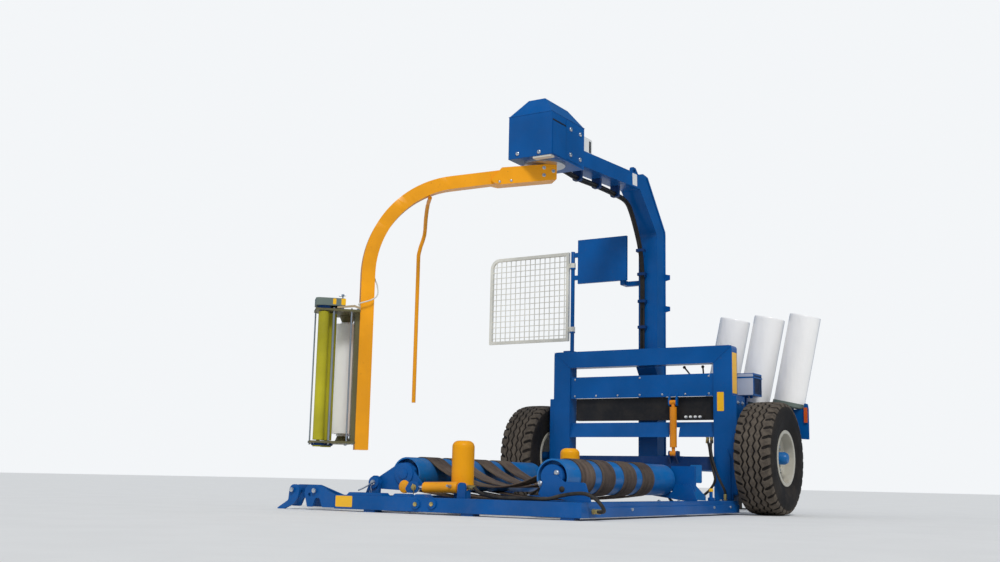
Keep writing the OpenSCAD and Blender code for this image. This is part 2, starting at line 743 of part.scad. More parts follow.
// Film dispenser on the arm's leg, in the arm's own frame: radius outward, then along, then up
unit_top = unit_z + film_len + 130;
roll_a = 105;       // film roll's middle, outward from the leg
roll_b = -205;      // and ahead of it
roller_rows = [[unit_out - 125, -40], [unit_out - 65, 60]];
plate_t = 14;
cone_h = 60;
cone_base = 110;
cone_tip = 60;
core_bore = 76;
cone_seat = cone_h * (cone_base - core_bore + 2 * gap) / (cone_base - cone_tip);
module dispenser_frame() {
    h = arm_tube / 2;
    color([0.42, 0.42, 0.28]) on_arm() translate([arm_r, 0, 0]) {
        for (z = [unit_z, unit_top]) translate([0, 0, z]) linear_extrude(plate_t) difference() {
            polygon(rounded([
                [h + 2, -h - 20, 10], [h + 2, unit_half, 10], [unit_corner, unit_half, unit_round],
                [unit_corner, -70, unit_round], [roll_a + 90, roll_b - 40, 30], [roll_a - 40, roll_b - 40, 30]
            ], 6));
            for (row = roller_rows) translate([row[0], row[1]]) circle(d = 25);
        }
        box([h + gap, -40, unit_z], [h + 30, 40, unit_top + plate_t]);
        translate([roll_a, roll_b, unit_z + plate_t]) cylinder(h = cone_h, d1 = cone_base, d2 = cone_tip);
        translate([roll_a, roll_b, unit_top - cone_h]) cylinder(h = cone_h, d1 = cone_tip, d2 = cone_base);
    }
}

module stretch_rollers() {
    color([0.5, 0.5, 0.12]) on_arm() for (row = roller_rows) translate([arm_r + row[0], row[1], 0]) {
        translate([0, 0, unit_z + 20]) cylinder(h = unit_top - unit_z - 26, d = stretch_d);
        translate([0, 0, unit_z - 20]) cylinder(h = unit_top - unit_z + 54, d = 25 - 0.1);
        translate([0, 0, unit_z - 24]) cylinder(h = 22, d = 70);
    }
}

module gear_cover() {
    color([0.45, 0.5, 0.45]) on_arm() translate([arm_r, 0, unit_top + 34 + gap]) linear_extrude(52)
        polygon(rounded([[150, -80, 20], [150, 95, 20], [unit_corner, 95, 30], [unit_corner, -60, 30]]));
}

module dispenser_roll() {
    low = unit_z + plate_t + cone_seat;
    core_len = unit_top - cone_seat - low;
    color([0.93, 0.93, 0.95]) on_arm() translate([arm_r + roll_a, roll_b, low]) difference() {
        union() {
            cylinder(h = core_len, d = core_bore + 14);
            translate([0, 0, (core_len - film_len) / 2]) cylinder(h = film_len, d = used_d);
        }
        translate([0, 0, -1]) cylinder(h = core_len + 2, d = core_bore);
    }
}

// Plate beside the mast and the mesh guard on its hinge
guard_y = portal_y + 90;
panel_x = [-627, -161];
panel_z = [1915, 2300];
hinge_x = -680;
post_d = 34;
collar_z = [1500, 2060];
collar_h = 40;
module guard_panel() {
    color([0, 0.3, 0.57]) placed() {
        box([panel_x[0], guard_y, panel_z[0]], [panel_x[1], guard_y + 25, panel_z[1]]);
        box([-230, guard_y + 24, panel_z[0] - 30], [-190, guard_y + 64, panel_z[1] - 60]);
        box([-230, mast_y + 20, panel_z[0] - 35], [-mast_w / 2 - gap, mast_y + 60, panel_z[0] + 5]);
        box([-230, guard_y + 30, panel_z[0] - 35], [-190, mast_y + 60, panel_z[0] + 5]);
        translate([hinge_x, guard_y + 12, portal_top + gap]) cylinder(h = 890, d = post_d);
        for (z = collar_z) translate([hinge_x, guard_y + 12, z - 12 - gap]) cylinder(h = 12, d = post_d + 14);
        for (z = [1950, 2150]) box([hinge_x, guard_y + 2, z], [panel_x[0] + 1, guard_y + 22, z + 40]);
        box([hinge_x - 40, portal_y + 20, portal_top + gap], [hinge_x + 40, guard_y + 40, portal_top + 14]);
    }
}

mesh_bar = 26;
mesh_wire = 6;
mesh_pitch = 50;
mesh_low = 1420;
mesh_top = 2200;
module mesh_guard() {
    right = hinge_x - post_d / 2 - 18;
    y = guard_y + 12;
    color([0.85, 0.86, 0.84]) placed() {
        for (z = collar_z) difference() {
            union() {
                translate([hinge_x, y, z]) cylinder(h = collar_h, d = post_d + 14);
                box([right - 4, y - 8, z], [hinge_x, y + 8, z + collar_h]);
            }
            translate([hinge_x, y, z - 1]) cylinder(h = collar_h + 2, d = post_d + 2 * fit);
        }
        plate_xz(y - mesh_bar / 2, y + mesh_bar / 2) difference() {
            polygon(mesh_outline(0, right));
            polygon(mesh_outline(mesh_bar, right));
        }
        plate_xz(y - mesh_wire / 2, y + mesh_wire / 2) intersection() {
            polygon(mesh_outline(mesh_bar - 1, right));
            union() {
                for (x = [right - mesh_pitch:-mesh_pitch:-guard_left])
                    translate([x, mesh_low]) square([mesh_wire, mesh_top - mesh_low]);
                for (z = [mesh_low + mesh_pitch:mesh_pitch:mesh_top])
                    translate([-guard_left, z]) square([right + guard_left, mesh_wire]);
            }
        }
    }
}

function mesh_outline(inset, right) = rounded([
    [right - inset, mesh_low + inset, 0], [right - inset, mesh_top - inset, 0],
    [-guard_left + inset, mesh_top - inset, 90 - inset], [-guard_left + inset, mesh_low + inset, 0]
]);

// Rack for spare film rolls above the right wheel
module rack_spot(i) {
    translate([rack_first_x + i * rack_pitch, rack_y, rack_z + 68]) rotate([0, rack_lean, 0])
        children();
}

module roll_rack() {
    color([0, 0.3, 0.57]) placed() {
        box([rack_first_x - 140, rack_y - 30, rack_z], [rack_last_x + 150, rack_y + 30, rack_z + 40]);
        for (i = [0:2]) rack_spot(i) {
            translate([0, 0, -8]) cylinder(h = 8 - gap, d = film_d - 40);
            translate([0, 0, -40]) cylinder(h = 34, d = 90);
            translate([0, 0, -1]) cylinder(h = 60, d = core_bore - 6);
        }
        box([portal_half - 70, portal_y + column_d + gap, rack_z - 30],
            [portal_half, rack_y - 29, rack_z + 35]);
    }
}

// Control box on the rack's arm, behind the right column
box_z = rack_z + 130;
module control_box() {
    x = [portal_half - 52, portal_half + 88];
    y = rack_y - 390;
    color([0.55, 0.62, 0.72]) placed() {
        box([x[0], y, box_z], [x[1], y + 190, box_z + 180]);
        box([x[0] - 4, y - 4, box_z + 140], [x[1] + 4, y + 194, box_z + 152]);
        for (dy = [20, 140]) box([x[0] + 8, y + dy, rack_z + 35 + gap], [x[0] + 28, y + dy + 30, box_z + 1]);
        for (dx = [35, 70, 105]) translate([x[0] + dx, y + 40, box_z - 18]) cylinder(h = 20, d = 24);
    }
}

module film_rolls() {
    color([0.97, 0.97, 0.97]) placed() for (i = [0:2]) rack_spot(i) difference() {
        cylinder(h = film_len, d = film_d);
        translate([0, 0, -1]) cylinder(h = film_len + 2, d = core_bore);
    }
}

// Rear lamp plates: right one under the rack, left one by symmetry
lamp_x = [rack_last_x + 55, rack_last_x + 175];
module lamp_plates() {
    color([0, 0.3, 0.57]) placed() {
        plate_xz(rack_y - 45, rack_y - 30 - gap) polygon(rounded([
            [lamp_x[0], rack_z + 38, 10], [lamp_x[1] - 34, rack_z + 38, 0], [lamp_x[1] - 34, rack_z + 88, 8],
            [lamp_x[1] - 6, rack_z + 80, 8], [lamp_x[1], rack_z + 40, 8], [lamp_x[1], rack_z - 204, 6],
            [lamp_x[1] - 60, rack_z - 200, 6], [lamp_x[0], rack_z - 10, 20]
        ]));
    }
}

module lamps() {
    color([0.85, 0.2, 0.05]) placed()
        box([lamp_x[1] - 32, rack_y - 62, rack_z - 70], [lamp_x[1] - 6, rack_y - 45 - gap, rack_z + 50]);
}

// Drawbar, towing eye and jack
module drawbar() {
    h = draw_side / 2;
    color([0, 0.3, 0.57]) placed() {
        box([-h, mast_y + mast_d + gap, draw_z - h], [h, eye_y - 200, draw_z + h]);
        for (s = side_sign) scale([s, 1, 1]) drawbar_brace();
    }
}

brace_len = 1090;   // from the portal's rear face to where the braces meet the drawbar
module drawbar_brace() {
    foot = portal_y + column_d + gap;
    meet = portal_y + brace_len;
    translate([0, 0, draw_z - 40]) linear_extrude(80) polygon([
        [draw_side / 2 - 1, meet], [draw_side / 2 - 1, meet - 140], [column_in + 20, foot],
        [column_in + 120, foot]
    ]);
}

module towing_eye() {
    color([0.15, 0.15, 0.16]) placed() difference() {
        union() {
            translate([0, eye_y, draw_z - 20]) cylinder(h = 40, d = 2 * eye_outer);
            box([-30, eye_y - 180, draw_z - 20], [30, eye_y - 40, draw_z + 20]);
            box([-60, eye_y - 200 + gap, draw_z - 60], [60, eye_y - 175, draw_z + 60]);
        }
        translate([0, eye_y, draw_z - 21]) cylinder(h = 42, d = eye_bore);
    }
}

jack_d = 60;
jack_x = draw_side / 2 + jack_d + 10;
jack_y = eye_y - 740;
jack_low = 60;
jack_top = draw_z + 180;
module jack() {
    color([0.3, 0.32, 0.35]) placed() {
        translate([jack_x, jack_y, jack_low]) cylinder(h = jack_top - jack_low, d = jack_d);
        translate([jack_x, jack_y, 0]) cylinder(h = 12, d = 160);
        translate([jack_x, jack_y, 11]) cylinder(h = 60, d = 45);
        box([draw_side / 2 + gap, jack_y - 40, draw_z - 40], [jack_x, jack_y + 40, draw_z + 40]);
        translate([jack_x, jack_y, jack_top - 1]) cylinder(h = 30, d = 40);
        rod([jack_x, jack_y, jack_top + 20], [jack_x + 110, jack_y, jack_top + 20], 16);
    }
}

// Hoses held by the machine: each route's own points
table_y = -rear_y + 40; // along the rear beam
table_hose_route = [
    [base_x + 27, -roller_end - 42, base_z], [20, -roller_end - 48, base_z - 5], [110, table_y + 30, 140],
    [260, table_y, base_top + 13.5], [480, table_y, base_top + 13.5], [600, table_y, base_top + 15],
    [side_out - 165, table_y - 3, 138], [side_out - 75, table_y - 7, 153], [side_out + 5, table_y - 5, 155],
    [side_out + 64, table_y, 132], [side_out + 102, table_y + 12, 94], [side_out + 104, table_y + 45, 62],
    [side_out + 70, table_y + 85, 52], [side_out + 30, table_y + 100, 52], [side_out + 0.9, table_y + 100, 52]
];
motor_y = roller_end + 135; // the drive's hose port
column_hose_route = [
    [column_in - 58, portal_y + 20, slope_low - 0.9], [column_in - 58, portal_y + 20, slope_low - 26],
    [column_in - 42, portal_y + 12, 510], [column_in - 18, portal_y - 12, 410],
    [column_in + 8, portal_y - 36, 330],
    [column_in + 26, portal_y - 50, 258], [column_in - 2, portal_y - 72, 190],
    [column_in - 60, portal_y - 110, 130], [column_in - 98, portal_y - 200, 95],
    [column_in - 92, motor_y + 290, 66], [column_in - 78, motor_y + 130, 72],
    [roller_x, motor_y + 30, 110], [roller_x, motor_y + 2, 155], [roller_x, motor_y, 182],
    [roller_x, motor_y, roller_z - drive_d / 2 - 0.6]
];
feed_hose_route = [
    [column_in - 27, portal_y + 20, slope_low - 0.9], [column_in - 27, portal_y + 20, slope_low - 26],
    [column_in - 25, portal_y, 510], [column_in - 8, portal_y - 22, 440],
    [column_in + 14, portal_y - 36, 380], [column_in + 40, portal_y - 46, 315],
    [column_in + 74, portal_y - 54, 245], [column_in + 104, portal_y - 58, 190],
    [column_in + 112, portal_y - 58, 158],
    [column_in + 112, portal_y - 58, 130], [column_in + 112, portal_y - 58, base_top + 0.6]
];
mast_hose_y = mast_y - 22;
mast_hose_route = [
    [-40, boom_start + 0.6, boom_z - 30], [-40, boom_start + 60, boom_z - 30],
    [-40, boom_start + 120, boom_z - 31], [-40, 600, boom_z - 38], [-40, 900, boom_z - 24],
    [-40, 1200, boom_z - 20], [-40, slant_y - 20, boom_z - 32], [-40, slant_y + 100, kink_z + 150],
    [-40, mast_y - 100, kink_z - 60], [-40, mast_y - 42, kink_z - 220], [-40, mast_hose_y, kink_z - 420],
    [-40, mast_hose_y, portal_top + 380], [-40, mast_hose_y, portal_top + 120],
    [-40, mast_hose_y, portal_top + 0.6]
];
arm_cable_route = [
    [arm_r - 51, 0, unit_top + 240], [arm_r - 65, 20, unit_top + 200], [arm_r - 65, 60, unit_top + 130],
    [arm_r - 25, 80, unit_top + 90], [arm_r + 55, 80, unit_top + 60], [arm_r + 55, 80, unit_top + 40],
    [arm_r + 55, 80, unit_top + plate_t + 0.6]
];
module table_hose() {
    color([0.1, 0.1, 0.1]) placed() hose(table_hose_route, 24, [0.1, 0.2, 1]);
}

module column_hoses() {
    color([0.1, 0.1, 0.1]) placed() {
        hose(column_hose_route, 20, [0.2, 1, 0]);
        hose(feed_hose_route, 20, [0.2, 1, 0]);
    }
}

module mast_hoses() {
    color([0.08, 0.08, 0.08]) placed() hose(mast_hose_route, 40, [1, 0, 0]);
}

module arm_cable() {
    color([0.8, 0.8, 0.75]) on_arm() hose(arm_cable_route, 9, [0, 1, 0.3]);
}

tyre(-1);  // tyre_left
rim(-1);  // rim_left
tyre(1);  // tyre_right
rim(1);  // rim_right
axle_stubs();
rear_beam();
side_beams();
hook_plates();
portal();
control_panel();
valve_recess();
low_beam();
lift_cylinder();
mast();
head_box();
table_belts();
table_roller(roller_x);  // roller_right
roller_brackets();
roller_drive();
swing_bearings();
swing_arms();
table_roller(-roller_x);  // roller_left
swing_cylinder();
swing_rod();
guide_stands();
guide_roller(-1);  // guide_roller_rear
guide_roller(1);  // guide_roller_front
rotor();
wrap_arm();
safety_bar();
dispenser_frame();
stretch_rollers();
gear_cover();
dispenser_roll();
guard_panel();
mesh_guard();
roll_rack();
control_box();
film_rolls();
lamp_plates();
lamps();
drawbar();
towing_eye();
jack();
table_hose();
column_hoses();
mast_hoses();
arm_cable();
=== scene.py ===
import json
import math

import bmesh
import bpy
import numpy as np
from mathutils import Matrix, Vector


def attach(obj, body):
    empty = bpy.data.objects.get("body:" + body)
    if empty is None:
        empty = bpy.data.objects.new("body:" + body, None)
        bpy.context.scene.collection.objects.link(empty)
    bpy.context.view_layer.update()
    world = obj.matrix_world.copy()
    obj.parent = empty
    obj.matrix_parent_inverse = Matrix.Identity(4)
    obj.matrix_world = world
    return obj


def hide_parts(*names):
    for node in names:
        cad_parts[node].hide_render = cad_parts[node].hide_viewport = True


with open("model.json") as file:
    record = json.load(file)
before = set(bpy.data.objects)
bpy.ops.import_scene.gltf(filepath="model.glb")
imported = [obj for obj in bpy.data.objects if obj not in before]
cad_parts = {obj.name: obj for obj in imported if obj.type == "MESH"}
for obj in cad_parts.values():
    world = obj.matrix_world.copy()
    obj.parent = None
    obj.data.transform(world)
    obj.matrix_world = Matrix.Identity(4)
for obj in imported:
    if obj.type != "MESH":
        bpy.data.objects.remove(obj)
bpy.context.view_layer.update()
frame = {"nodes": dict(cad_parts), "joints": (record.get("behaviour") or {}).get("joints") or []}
joints = {joint["name"]: joint for joint in frame["joints"]}
turnAxis = np.array(joints["arm_turn"]["pos_m"][:2] + [0.0])  # the wrap arm's turning axis, on the ground
armTurn = math.radians(225)  # where the wrap arm is parked
right, left, front, back, up, down = (1, 0, 0), (-1, 0, 0), (0, 1, 0), (0, -1, 0), (0, 0, 1), (0, 0, -1)
bothSides = (-1, 1)
print("frame loaded:", len(frame["nodes"]), "nodes")


# Places from the turning axis, in metres: right, forward, up
def placed(points):
    return np.asarray(points, float) + turnAxis


# Places on the wrap arm, in metres: outward along it, across, up
def onArm(points):
    p = np.asarray(points, float)
    c, s = math.cos(armTurn), math.sin(armTurn)
    return placed(np.stack([p[..., 0] * c - p[..., 1] * s, p[..., 0] * s + p[..., 1] * c, p[..., 2]], -1))


# Pieces are measured in millimetres: their places and directions on any body
def spot(points, body):
    metres = np.asarray(points, float) / 1000
    return onArm(metres) if body == "arm" else placed(metres)


def way(direction, body):
    return onArm(direction) - onArm((0, 0, 0)) if body == "arm" else np.asarray(direction, float)


def unit(vectors):
    v = np.asarray(vectors, float)
    return v / np.linalg.norm(v, axis=-1, keepdims=True)


# Even angles once round
def around(count):
    return np.linspace(0, 2 * math.pi, count, endpoint=False)


cameraView = dict(place=(4.014, -6.998, 0.226), yaw=32.0, pitch=9.8, roll=1.25, lens=41.4, sensor=36.0)


def makeCamera(v):
    yaw, pitch, roll = (math.radians(v[k]) for k in ("yaw", "pitch", "roll"))
    ahead = np.array([-math.sin(yaw) * math.cos(pitch), math.cos(yaw) * math.cos(pitch), math.sin(pitch)])
    level = np.array([math.cos(yaw), math.sin(yaw), 0.0])
    rise = np.cross(level, ahead)
    across = math.cos(roll) * level + math.sin(roll) * rise
    top = math.cos(roll) * rise - math.sin(roll) * level
    data = bpy.data.cameras.new("photoCamera")
    data.lens = v["lens"]
    data.sensor_width = v["sensor"]
    camera = bpy.data.objects.new("photoCamera", data)
    axes = Matrix(np.stack([across, top, -ahead], 1).tolist())
    camera.matrix_world = Matrix.Translation(Vector(placed(v["place"]))) @ axes.to_4x4()
    bpy.context.scene.collection.objects.link(camera)
    bpy.context.scene.camera = camera


makeCamera(cameraView)
bpy.context.scene.view_settings.view_transform = "Standard"
print("camera placed")

# Lamps: power, angle in degrees, where they come from. Skies: colour, strength, the rays that see them
studio = dict(
    keyLight=(1.55, 14.0, (0.50, -0.62, 0.80)), fillLight=(0.30, 60.0, (-0.8, -0.5, 0.35)),
    light=((0.93, 0.96, 1.0), 0.52, None), gloss=((0.12, 0.32, 0.60), 0.50, "Is Glossy Ray"),
    backdrop=((0.90, 0.92, 0.94), 1.0, "Is Camera Ray"), floor=(0.80, 0.80, 0.79), floorSize=60.0,
)


# World: even daylight; the camera sees it near white, and gloss mirrors a deeper sky
def makeWorld(s):
    world = bpy.data.worlds.new("studio")
    world.use_nodes = True
    tree = world.node_tree
    tree.nodes.clear()
    out = tree.nodes.new("ShaderNodeOutputWorld")
    rays = tree.nodes.new("ShaderNodeLightPath")
    last = None
    for tint, strength, ray in (s["light"], s["gloss"], s["backdrop"]):
        sky = tree.nodes.new("ShaderNodeBackground")
        sky.inputs["Color"].default_value = (*tint, 1)
        sky.inputs["Strength"].default_value = strength
        if last is None:
            last = sky.outputs[0]
            continue
        mix = tree.nodes.new("ShaderNodeMixShader")
        tree.links.new(rays.outputs[ray], mix.inputs[0])
        tree.links.new(last, mix.inputs[1])
        tree.links.new(sky.outputs[0], mix.inputs[2])
        last = mix.outputs[0]
    tree.links.new(last, out.inputs["Surface"])
    bpy.context.scene.world = world


def makeSun(name, power, angle, source):
    lamp = bpy.data.lights.new(name, "SUN")
    lamp.energy = power
    lamp.angle = math.radians(angle)
    holder = bpy.data.objects.new(name, lamp)
    holder.rotation_euler = Vector(source).to_track_quat("Z", "Y").to_euler()
    bpy.context.scene.collection.objects.link(holder)


makeWorld(studio)
for name in ("keyLight", "fillLight"):
    makeSun(name, *studio[name])
print("lights placed")


# Shader nodes: a socket takes a constant, or a link from another socket
def feed(tree, socket, value):
    if isinstance(value, bpy.types.NodeSocket):
        tree.links.new(value, socket)
    elif isinstance(value, tuple):
        socket.default_value = (*value, 1.0)
    else:
        socket.default_value = value


def mathNode(tree, operation, a, b, clamp=False):
    node = tree.nodes.new("ShaderNodeMath")
    node.operation = operation
    node.use_clamp = clamp
    feed(tree, node.inputs[0], a)
    feed(tree, node.inputs[1], b)
    return node.outputs[0]


def times(tree, a, b, clamp=False):
    return mathNode(tree, "MULTIPLY", a, b, clamp)


def plus(tree, a, b, clamp=False):
    return mathNode(tree, "ADD", a, b, clamp)


def objectPlace(tree):
    return tree.nodes.new("ShaderNodeTexCoord").outputs["Object"]


def upPart(tree, vector):
    node = tree.nodes.new("ShaderNodeSeparateXYZ")
    tree.links.new(vector, node.inputs[0])
    return node.outputs[2]


def stretched(tree, vector, scale):
    node = tree.nodes.new("ShaderNodeMapping")
    node.inputs["Scale"].default_value = scale
    tree.links.new(vector, node.inputs["Vector"])
    return node.outputs["Vector"]


def noiseNode(tree, vector, scale, detail=4.0, rough=0.55):
    node = tree.nodes.new("ShaderNodeTexNoise")
    for label, value in (("Vector", vector), ("Scale", scale), ("Detail", detail), ("Roughness", rough)):
        feed(tree, node.inputs[label], value)
    return node.outputs["Fac"]


def rampNode(tree, value, low, high):
    node = tree.nodes.new("ShaderNodeMapRange")
    node.interpolation_type = "SMOOTHSTEP"
    for label, given in (("Value", value), ("From Min", low), ("From Max", high)):
        feed(tree, node.inputs[label], given)
    return node.outputs["Result"]


def mixColor(tree, factor, a, b):
    node = tree.nodes.new("ShaderNodeMix")
    node.data_type = "RGBA"
    for index, value in ((0, factor), (6, a), (7, b)):
        feed(tree, node.inputs[index], value)
    return node.outputs[2]


def bumpNode(tree, height, below=None):
    node = tree.nodes.new("ShaderNodeBump")
    node.inputs["Strength"].default_value = 1.0
    node.inputs["Distance"].default_value = 1.0
    tree.links.new(height, node.inputs["Height"])
    if below is not None:
        tree.links.new(below, node.inputs["Normal"])
    return node.outputs["Normal"]


color, number, normal = "NodeSocketColor", "NodeSocketFloat", "NodeSocketVector"


# Node groups with named inputs and outputs, each built once; an input's value gives its kind
def nodeGroup(name, inputs, outputs):
    group = bpy.data.node_groups.new(name, "ShaderNodeTree")
    for label, value in inputs.items():
        kind = color if isinstance(value, tuple) else number
        group.interface.new_socket(name=label, in_out="INPUT", socket_type=kind).default_value = value
    for label, kind in outputs.items():
        group.interface.new_socket(name=label, in_out="OUTPUT", socket_type=kind)
    taken, given = group.nodes.new("NodeGroupInput"), group.nodes.new("NodeGroupOutput")
    return group, taken.outputs, given.inputs


# Dust: a share that grows on faces that look up and near the ground, broken by noise
def makeDust():
    group, taken, given = nodeGroup("dust", {
        "Color": (0.5, 0.5, 0.5, 1), "Dust Color": (0.3, 0.24, 0.17, 1), "Amount": 0.3, "Low Height": 0.5,
        "Roughness": 0.4}, {"Color": color, "Roughness": number})
    place = objectPlace(group)
    facing = upPart(group, group.nodes.new("ShaderNodeNewGeometry").outputs["Normal"])
    patches = rampNode(group, noiseNode(group, place, 5.0, 5.0, 0.6), 0.38, 0.68)
    grit = rampNode(group, noiseNode(group, place, 38.0, 3.0, 0.6), 0.42, 0.66)
    lookUp = times(group, mathNode(group, "MAXIMUM", facing, 0.0), 0.8)
    high = mathNode(group, "DIVIDE", upPart(group, place), taken["Low Height"])
    low = mathNode(group, "MAXIMUM", mathNode(group, "SUBTRACT", 1.0, high), 0.0, clamp=True)
    where = plus(group, plus(group, lookUp, low), 0.35)
    broken = plus(group, times(group, patches, 0.75), times(group, grit, 0.35))
    share = times(group, times(group, where, broken), taken["Amount"], clamp=True)
    tinted = mixColor(group, share, taken["Color"], taken["Dust Color"])
    rougher = plus(group, taken["Roughness"], times(group, share, 0.45), clamp=True)
    group.links.new(tinted, given["Color"])
    group.links.new(rougher, given["Roughness"])
    return group


# Chips: small sharp spots of a second colour inside broad worn areas
def makeChips():
    group, taken, given = nodeGroup("chips", {
        "Color": (0.5, 0.5, 0.5, 1), "Chip Color": (0.2, 0.2, 0.2, 1), "Amount": 0.3, "Scale": 60.0},
        {"Color": color, "Mask": number})
    place = objectPlace(group)
    spots = rampNode(group, noiseNode(group, place, taken["Scale"], 6.0, 0.7), 0.62, 0.66)
    areas = rampNode(group, noiseNode(group, place, 3.0, 3.0, 0.5), 0.45, 0.62)
    mask = times(group, times(group, spots, areas), taken["Amount"], clamp=True)
    group.links.new(mixColor(group, mask, taken["Color"], taken["Chip Color"]), given["Color"])
    group.links.new(mask, given["Mask"])
    return group


# Skin: the fine unevenness of a coat or a moulded surface, as a bumped normal
def makeSkin():
    group, taken, given = nodeGroup("skin", {
        "Scale": 300.0, "Depth": 0.0003, "Wave Scale": 8.0, "Wave Depth": 0.001}, {"Normal": normal})
    place = objectPlace(group)
    fine = times(group, noiseNode(group, place, taken["Scale"], 2.0, 0.5), taken["Depth"])
    wave = times(group, noiseNode(group, place, taken["Wave Scale"], 2.0, 0.5), taken["Wave Depth"])
    group.links.new(bumpNode(group, plus(group, fine, wave)), given["Normal"])
    return group


dustGroup, chipsGroup, skinGroup = makeDust(), makeChips(), makeSkin()
materials = {}


def placeGroup(tree, group, values):
    node = tree.nodes.new("ShaderNodeGroup")
    node.node_tree = group
    for label, value in values.items():
        feed(tree, node.inputs[label], value)
    return node.outputs


# One finish: a colour that varies, chips, dust and a bumped skin on a Principled shader. The skin holds scale and
# depth of the grain, then of the waves
def finish(name, base, rough, metal=0.0, coat=0.0, dust=0.25, low=0.5, chip=None, chips=0.0, chipScale=60.0,
           skin=(300.0, 0.0002, 8.0, 0.0006), vary=0.12, dustColor=(0.30, 0.24, 0.16), pattern=None, gloss=0.25):
    material = bpy.data.materials.new(name)
    material.use_nodes = True
    tree = material.node_tree
    shader = tree.nodes["Principled BSDF"]
    place = objectPlace(tree)
    darker = tuple(c * (1 - vary) for c in base)
    lighter = tuple(min(1.0, c * (1 + vary)) for c in base)
    tone = mixColor(tree, rampNode(tree, noiseNode(tree, place, 2.3), 0.3, 0.7), darker, lighter)
    height = None
    if pattern:
        tone, height = pattern(tree, place, tone)
    if chip:
        tone = placeGroup(tree, chipsGroup, {"Color": tone, "Chip Color": chip, "Amount": chips,
                                             "Scale": chipScale})["Color"]
    dusty = placeGroup(tree, dustGroup, {"Color": tone, "Dust Color": dustColor, "Amount": dust,
                                         "Low Height": low, "Roughness": rough})
    tree.links.new(dusty["Color"], shader.inputs["Base Color"])
    tree.links.new(dusty["Roughness"], shader.inputs["Roughness"])
    last = placeGroup(tree, skinGroup, dict(zip(("Scale", "Depth", "Wave Scale", "Wave Depth"), skin)))["Normal"]
    if height is not None:
        last = bumpNode(tree, height, last)
    tree.links.new(last, shader.inputs["Normal"])
    shader.inputs["Metallic"].default_value = metal
    shader.inputs["Specular IOR Level"].default_value = gloss
    shader.inputs["Coat Weight"].default_value = coat
    shader.inputs["Coat Roughness"].default_value = 0.12
    materials[name] = material


# Tread: the blocks carry dry soil and the grooves stay black as painted shade, by the mesh's own depth attribute
def treadPattern(tree, place, tone):
    depth = tree.nodes.new("ShaderNodeAttribute")
    depth.attribute_name = "depth"
    worn = rampNode(tree, noiseNode(tree, place, 22.0, 5.0, 0.65), 0.35, 0.7)
    soil = mixColor(tree, worn, (0.120, 0.098, 0.076), (0.062, 0.050, 0.040))
    return mixColor(tree, rampNode(tree, depth.outputs["Fac"], 0.25, 0.75), tone, soil), None


# Belt: a woven face with darker bands where it has rubbed
def beltPattern(tree, place, tone):
    bands = tree.nodes.new("ShaderNodeTexWave")
    bands.wave_type = "BANDS"
    bands.bands_direction = "Y"
    bands.inputs["Scale"].default_value = 110.0
    bands.inputs["Distortion"].default_value = 0.6
    tree.links.new(place, bands.inputs["Vector"])
    rub = rampNode(tree, noiseNode(tree, stretched(tree, place, (3.0, 26.0, 3.0)), 1.0, 5.0, 0.6), 0.35, 0.65)
    mixed = mixColor(tree, times(tree, rub, 0.8), tone, (0.048, 0.034, 0.028))
    return mixed, times(tree, bands.outputs["Fac"], 0.0006)


# Wound film: long soft creases up the side, as height only
def filmPattern(tree, place, tone):
    crease = noiseNode(tree, stretched(tree, place, (14.0, 14.0, 1.6)), 1.0, 4.0, 0.5)
    return tone, times(tree, crease, 0.006)


# Brushed metal: streaks along one direction
def brushPattern(tree, place, tone):
    streak = noiseNode(tree, stretched(tree, place, (220.0, 220.0, 8.0)), 1.0, 2.0, 0.5)
    return mixColor(tree, times(tree, streak, 0.35), tone, (0.30, 0.30, 0.30)), None


primer = (0.09, 0.06, 0.045)
finish("bluePaint", (0.0002, 0.086, 0.315), 0.32, coat=0.08, dust=0.04, low=0.42, chip=primer, chips=0.35,
       chipScale=45.0, gloss=0.16)
finish("rollerPaint", (0.002, 0.135, 0.410), 0.34, coat=0.12, dust=0.10, chip=(0.10, 0.055, 0.03), chips=0.9,
       chipScale=26.0, gloss=0.2)
finish("darkBluePaint", (0.0004, 0.030, 0.130), 0.35, coat=0.1, dust=0.08, chip=primer, chips=0.3)
finish("yellowPaint", (0.90, 0.36, 0.004), 0.33, coat=0.15, dust=0.06, low=0.4, chip=(0.28, 0.10, 0.01),
       chips=0.5, chipScale=40.0)
finish("guideYellow", (0.97, 0.40, 0.004), 0.38, dust=0.06, low=0.4, chip=(0.35, 0.13, 0.01), chips=0.4,
       gloss=0.15)
finish("amberPaint", (0.80, 0.27, 0.005), 0.36, coat=0.15, dust=0.14, chip=(0.16, 0.06, 0.01), chips=0.8)
finish("tyreRubber", (0.010, 0.008, 0.007), 0.78, dust=0.12, low=0.9, vary=0.25, pattern=treadPattern,
       skin=(420.0, 0.0005, 14.0, 0.0008), dustColor=(0.16, 0.13, 0.10))
finish("rimPaint", (0.50, 0.48, 0.41), 0.38, coat=0.1, dust=0.22, low=0.55, chip=(0.25, 0.16, 0.09), chips=0.5)
finish("beltRubber", (0.125, 0.088, 0.070), 0.78, dust=0.20, vary=0.3, pattern=beltPattern,
       skin=(260.0, 0.0006, 10.0, 0.001))
finish("hoseRubber", (0.014, 0.013, 0.013), 0.45, dust=0.12, skin=(380.0, 0.0003, 30.0, 0.0004))
finish("blackPlastic", (0.012, 0.012, 0.014), 0.42, dust=0.15, skin=(500.0, 0.0002, 12.0, 0.0004))
finish("chromeRod", (0.80, 0.80, 0.82), 0.12, metal=1.0, dust=0.05, vary=0.04, skin=(200.0, 0.00005, 8.0, 0.0002))
finish("zincSteel", (0.58, 0.60, 0.62), 0.32, metal=0.9, dust=0.12, vary=0.15, chip=(0.30, 0.24, 0.16), chips=0.3)
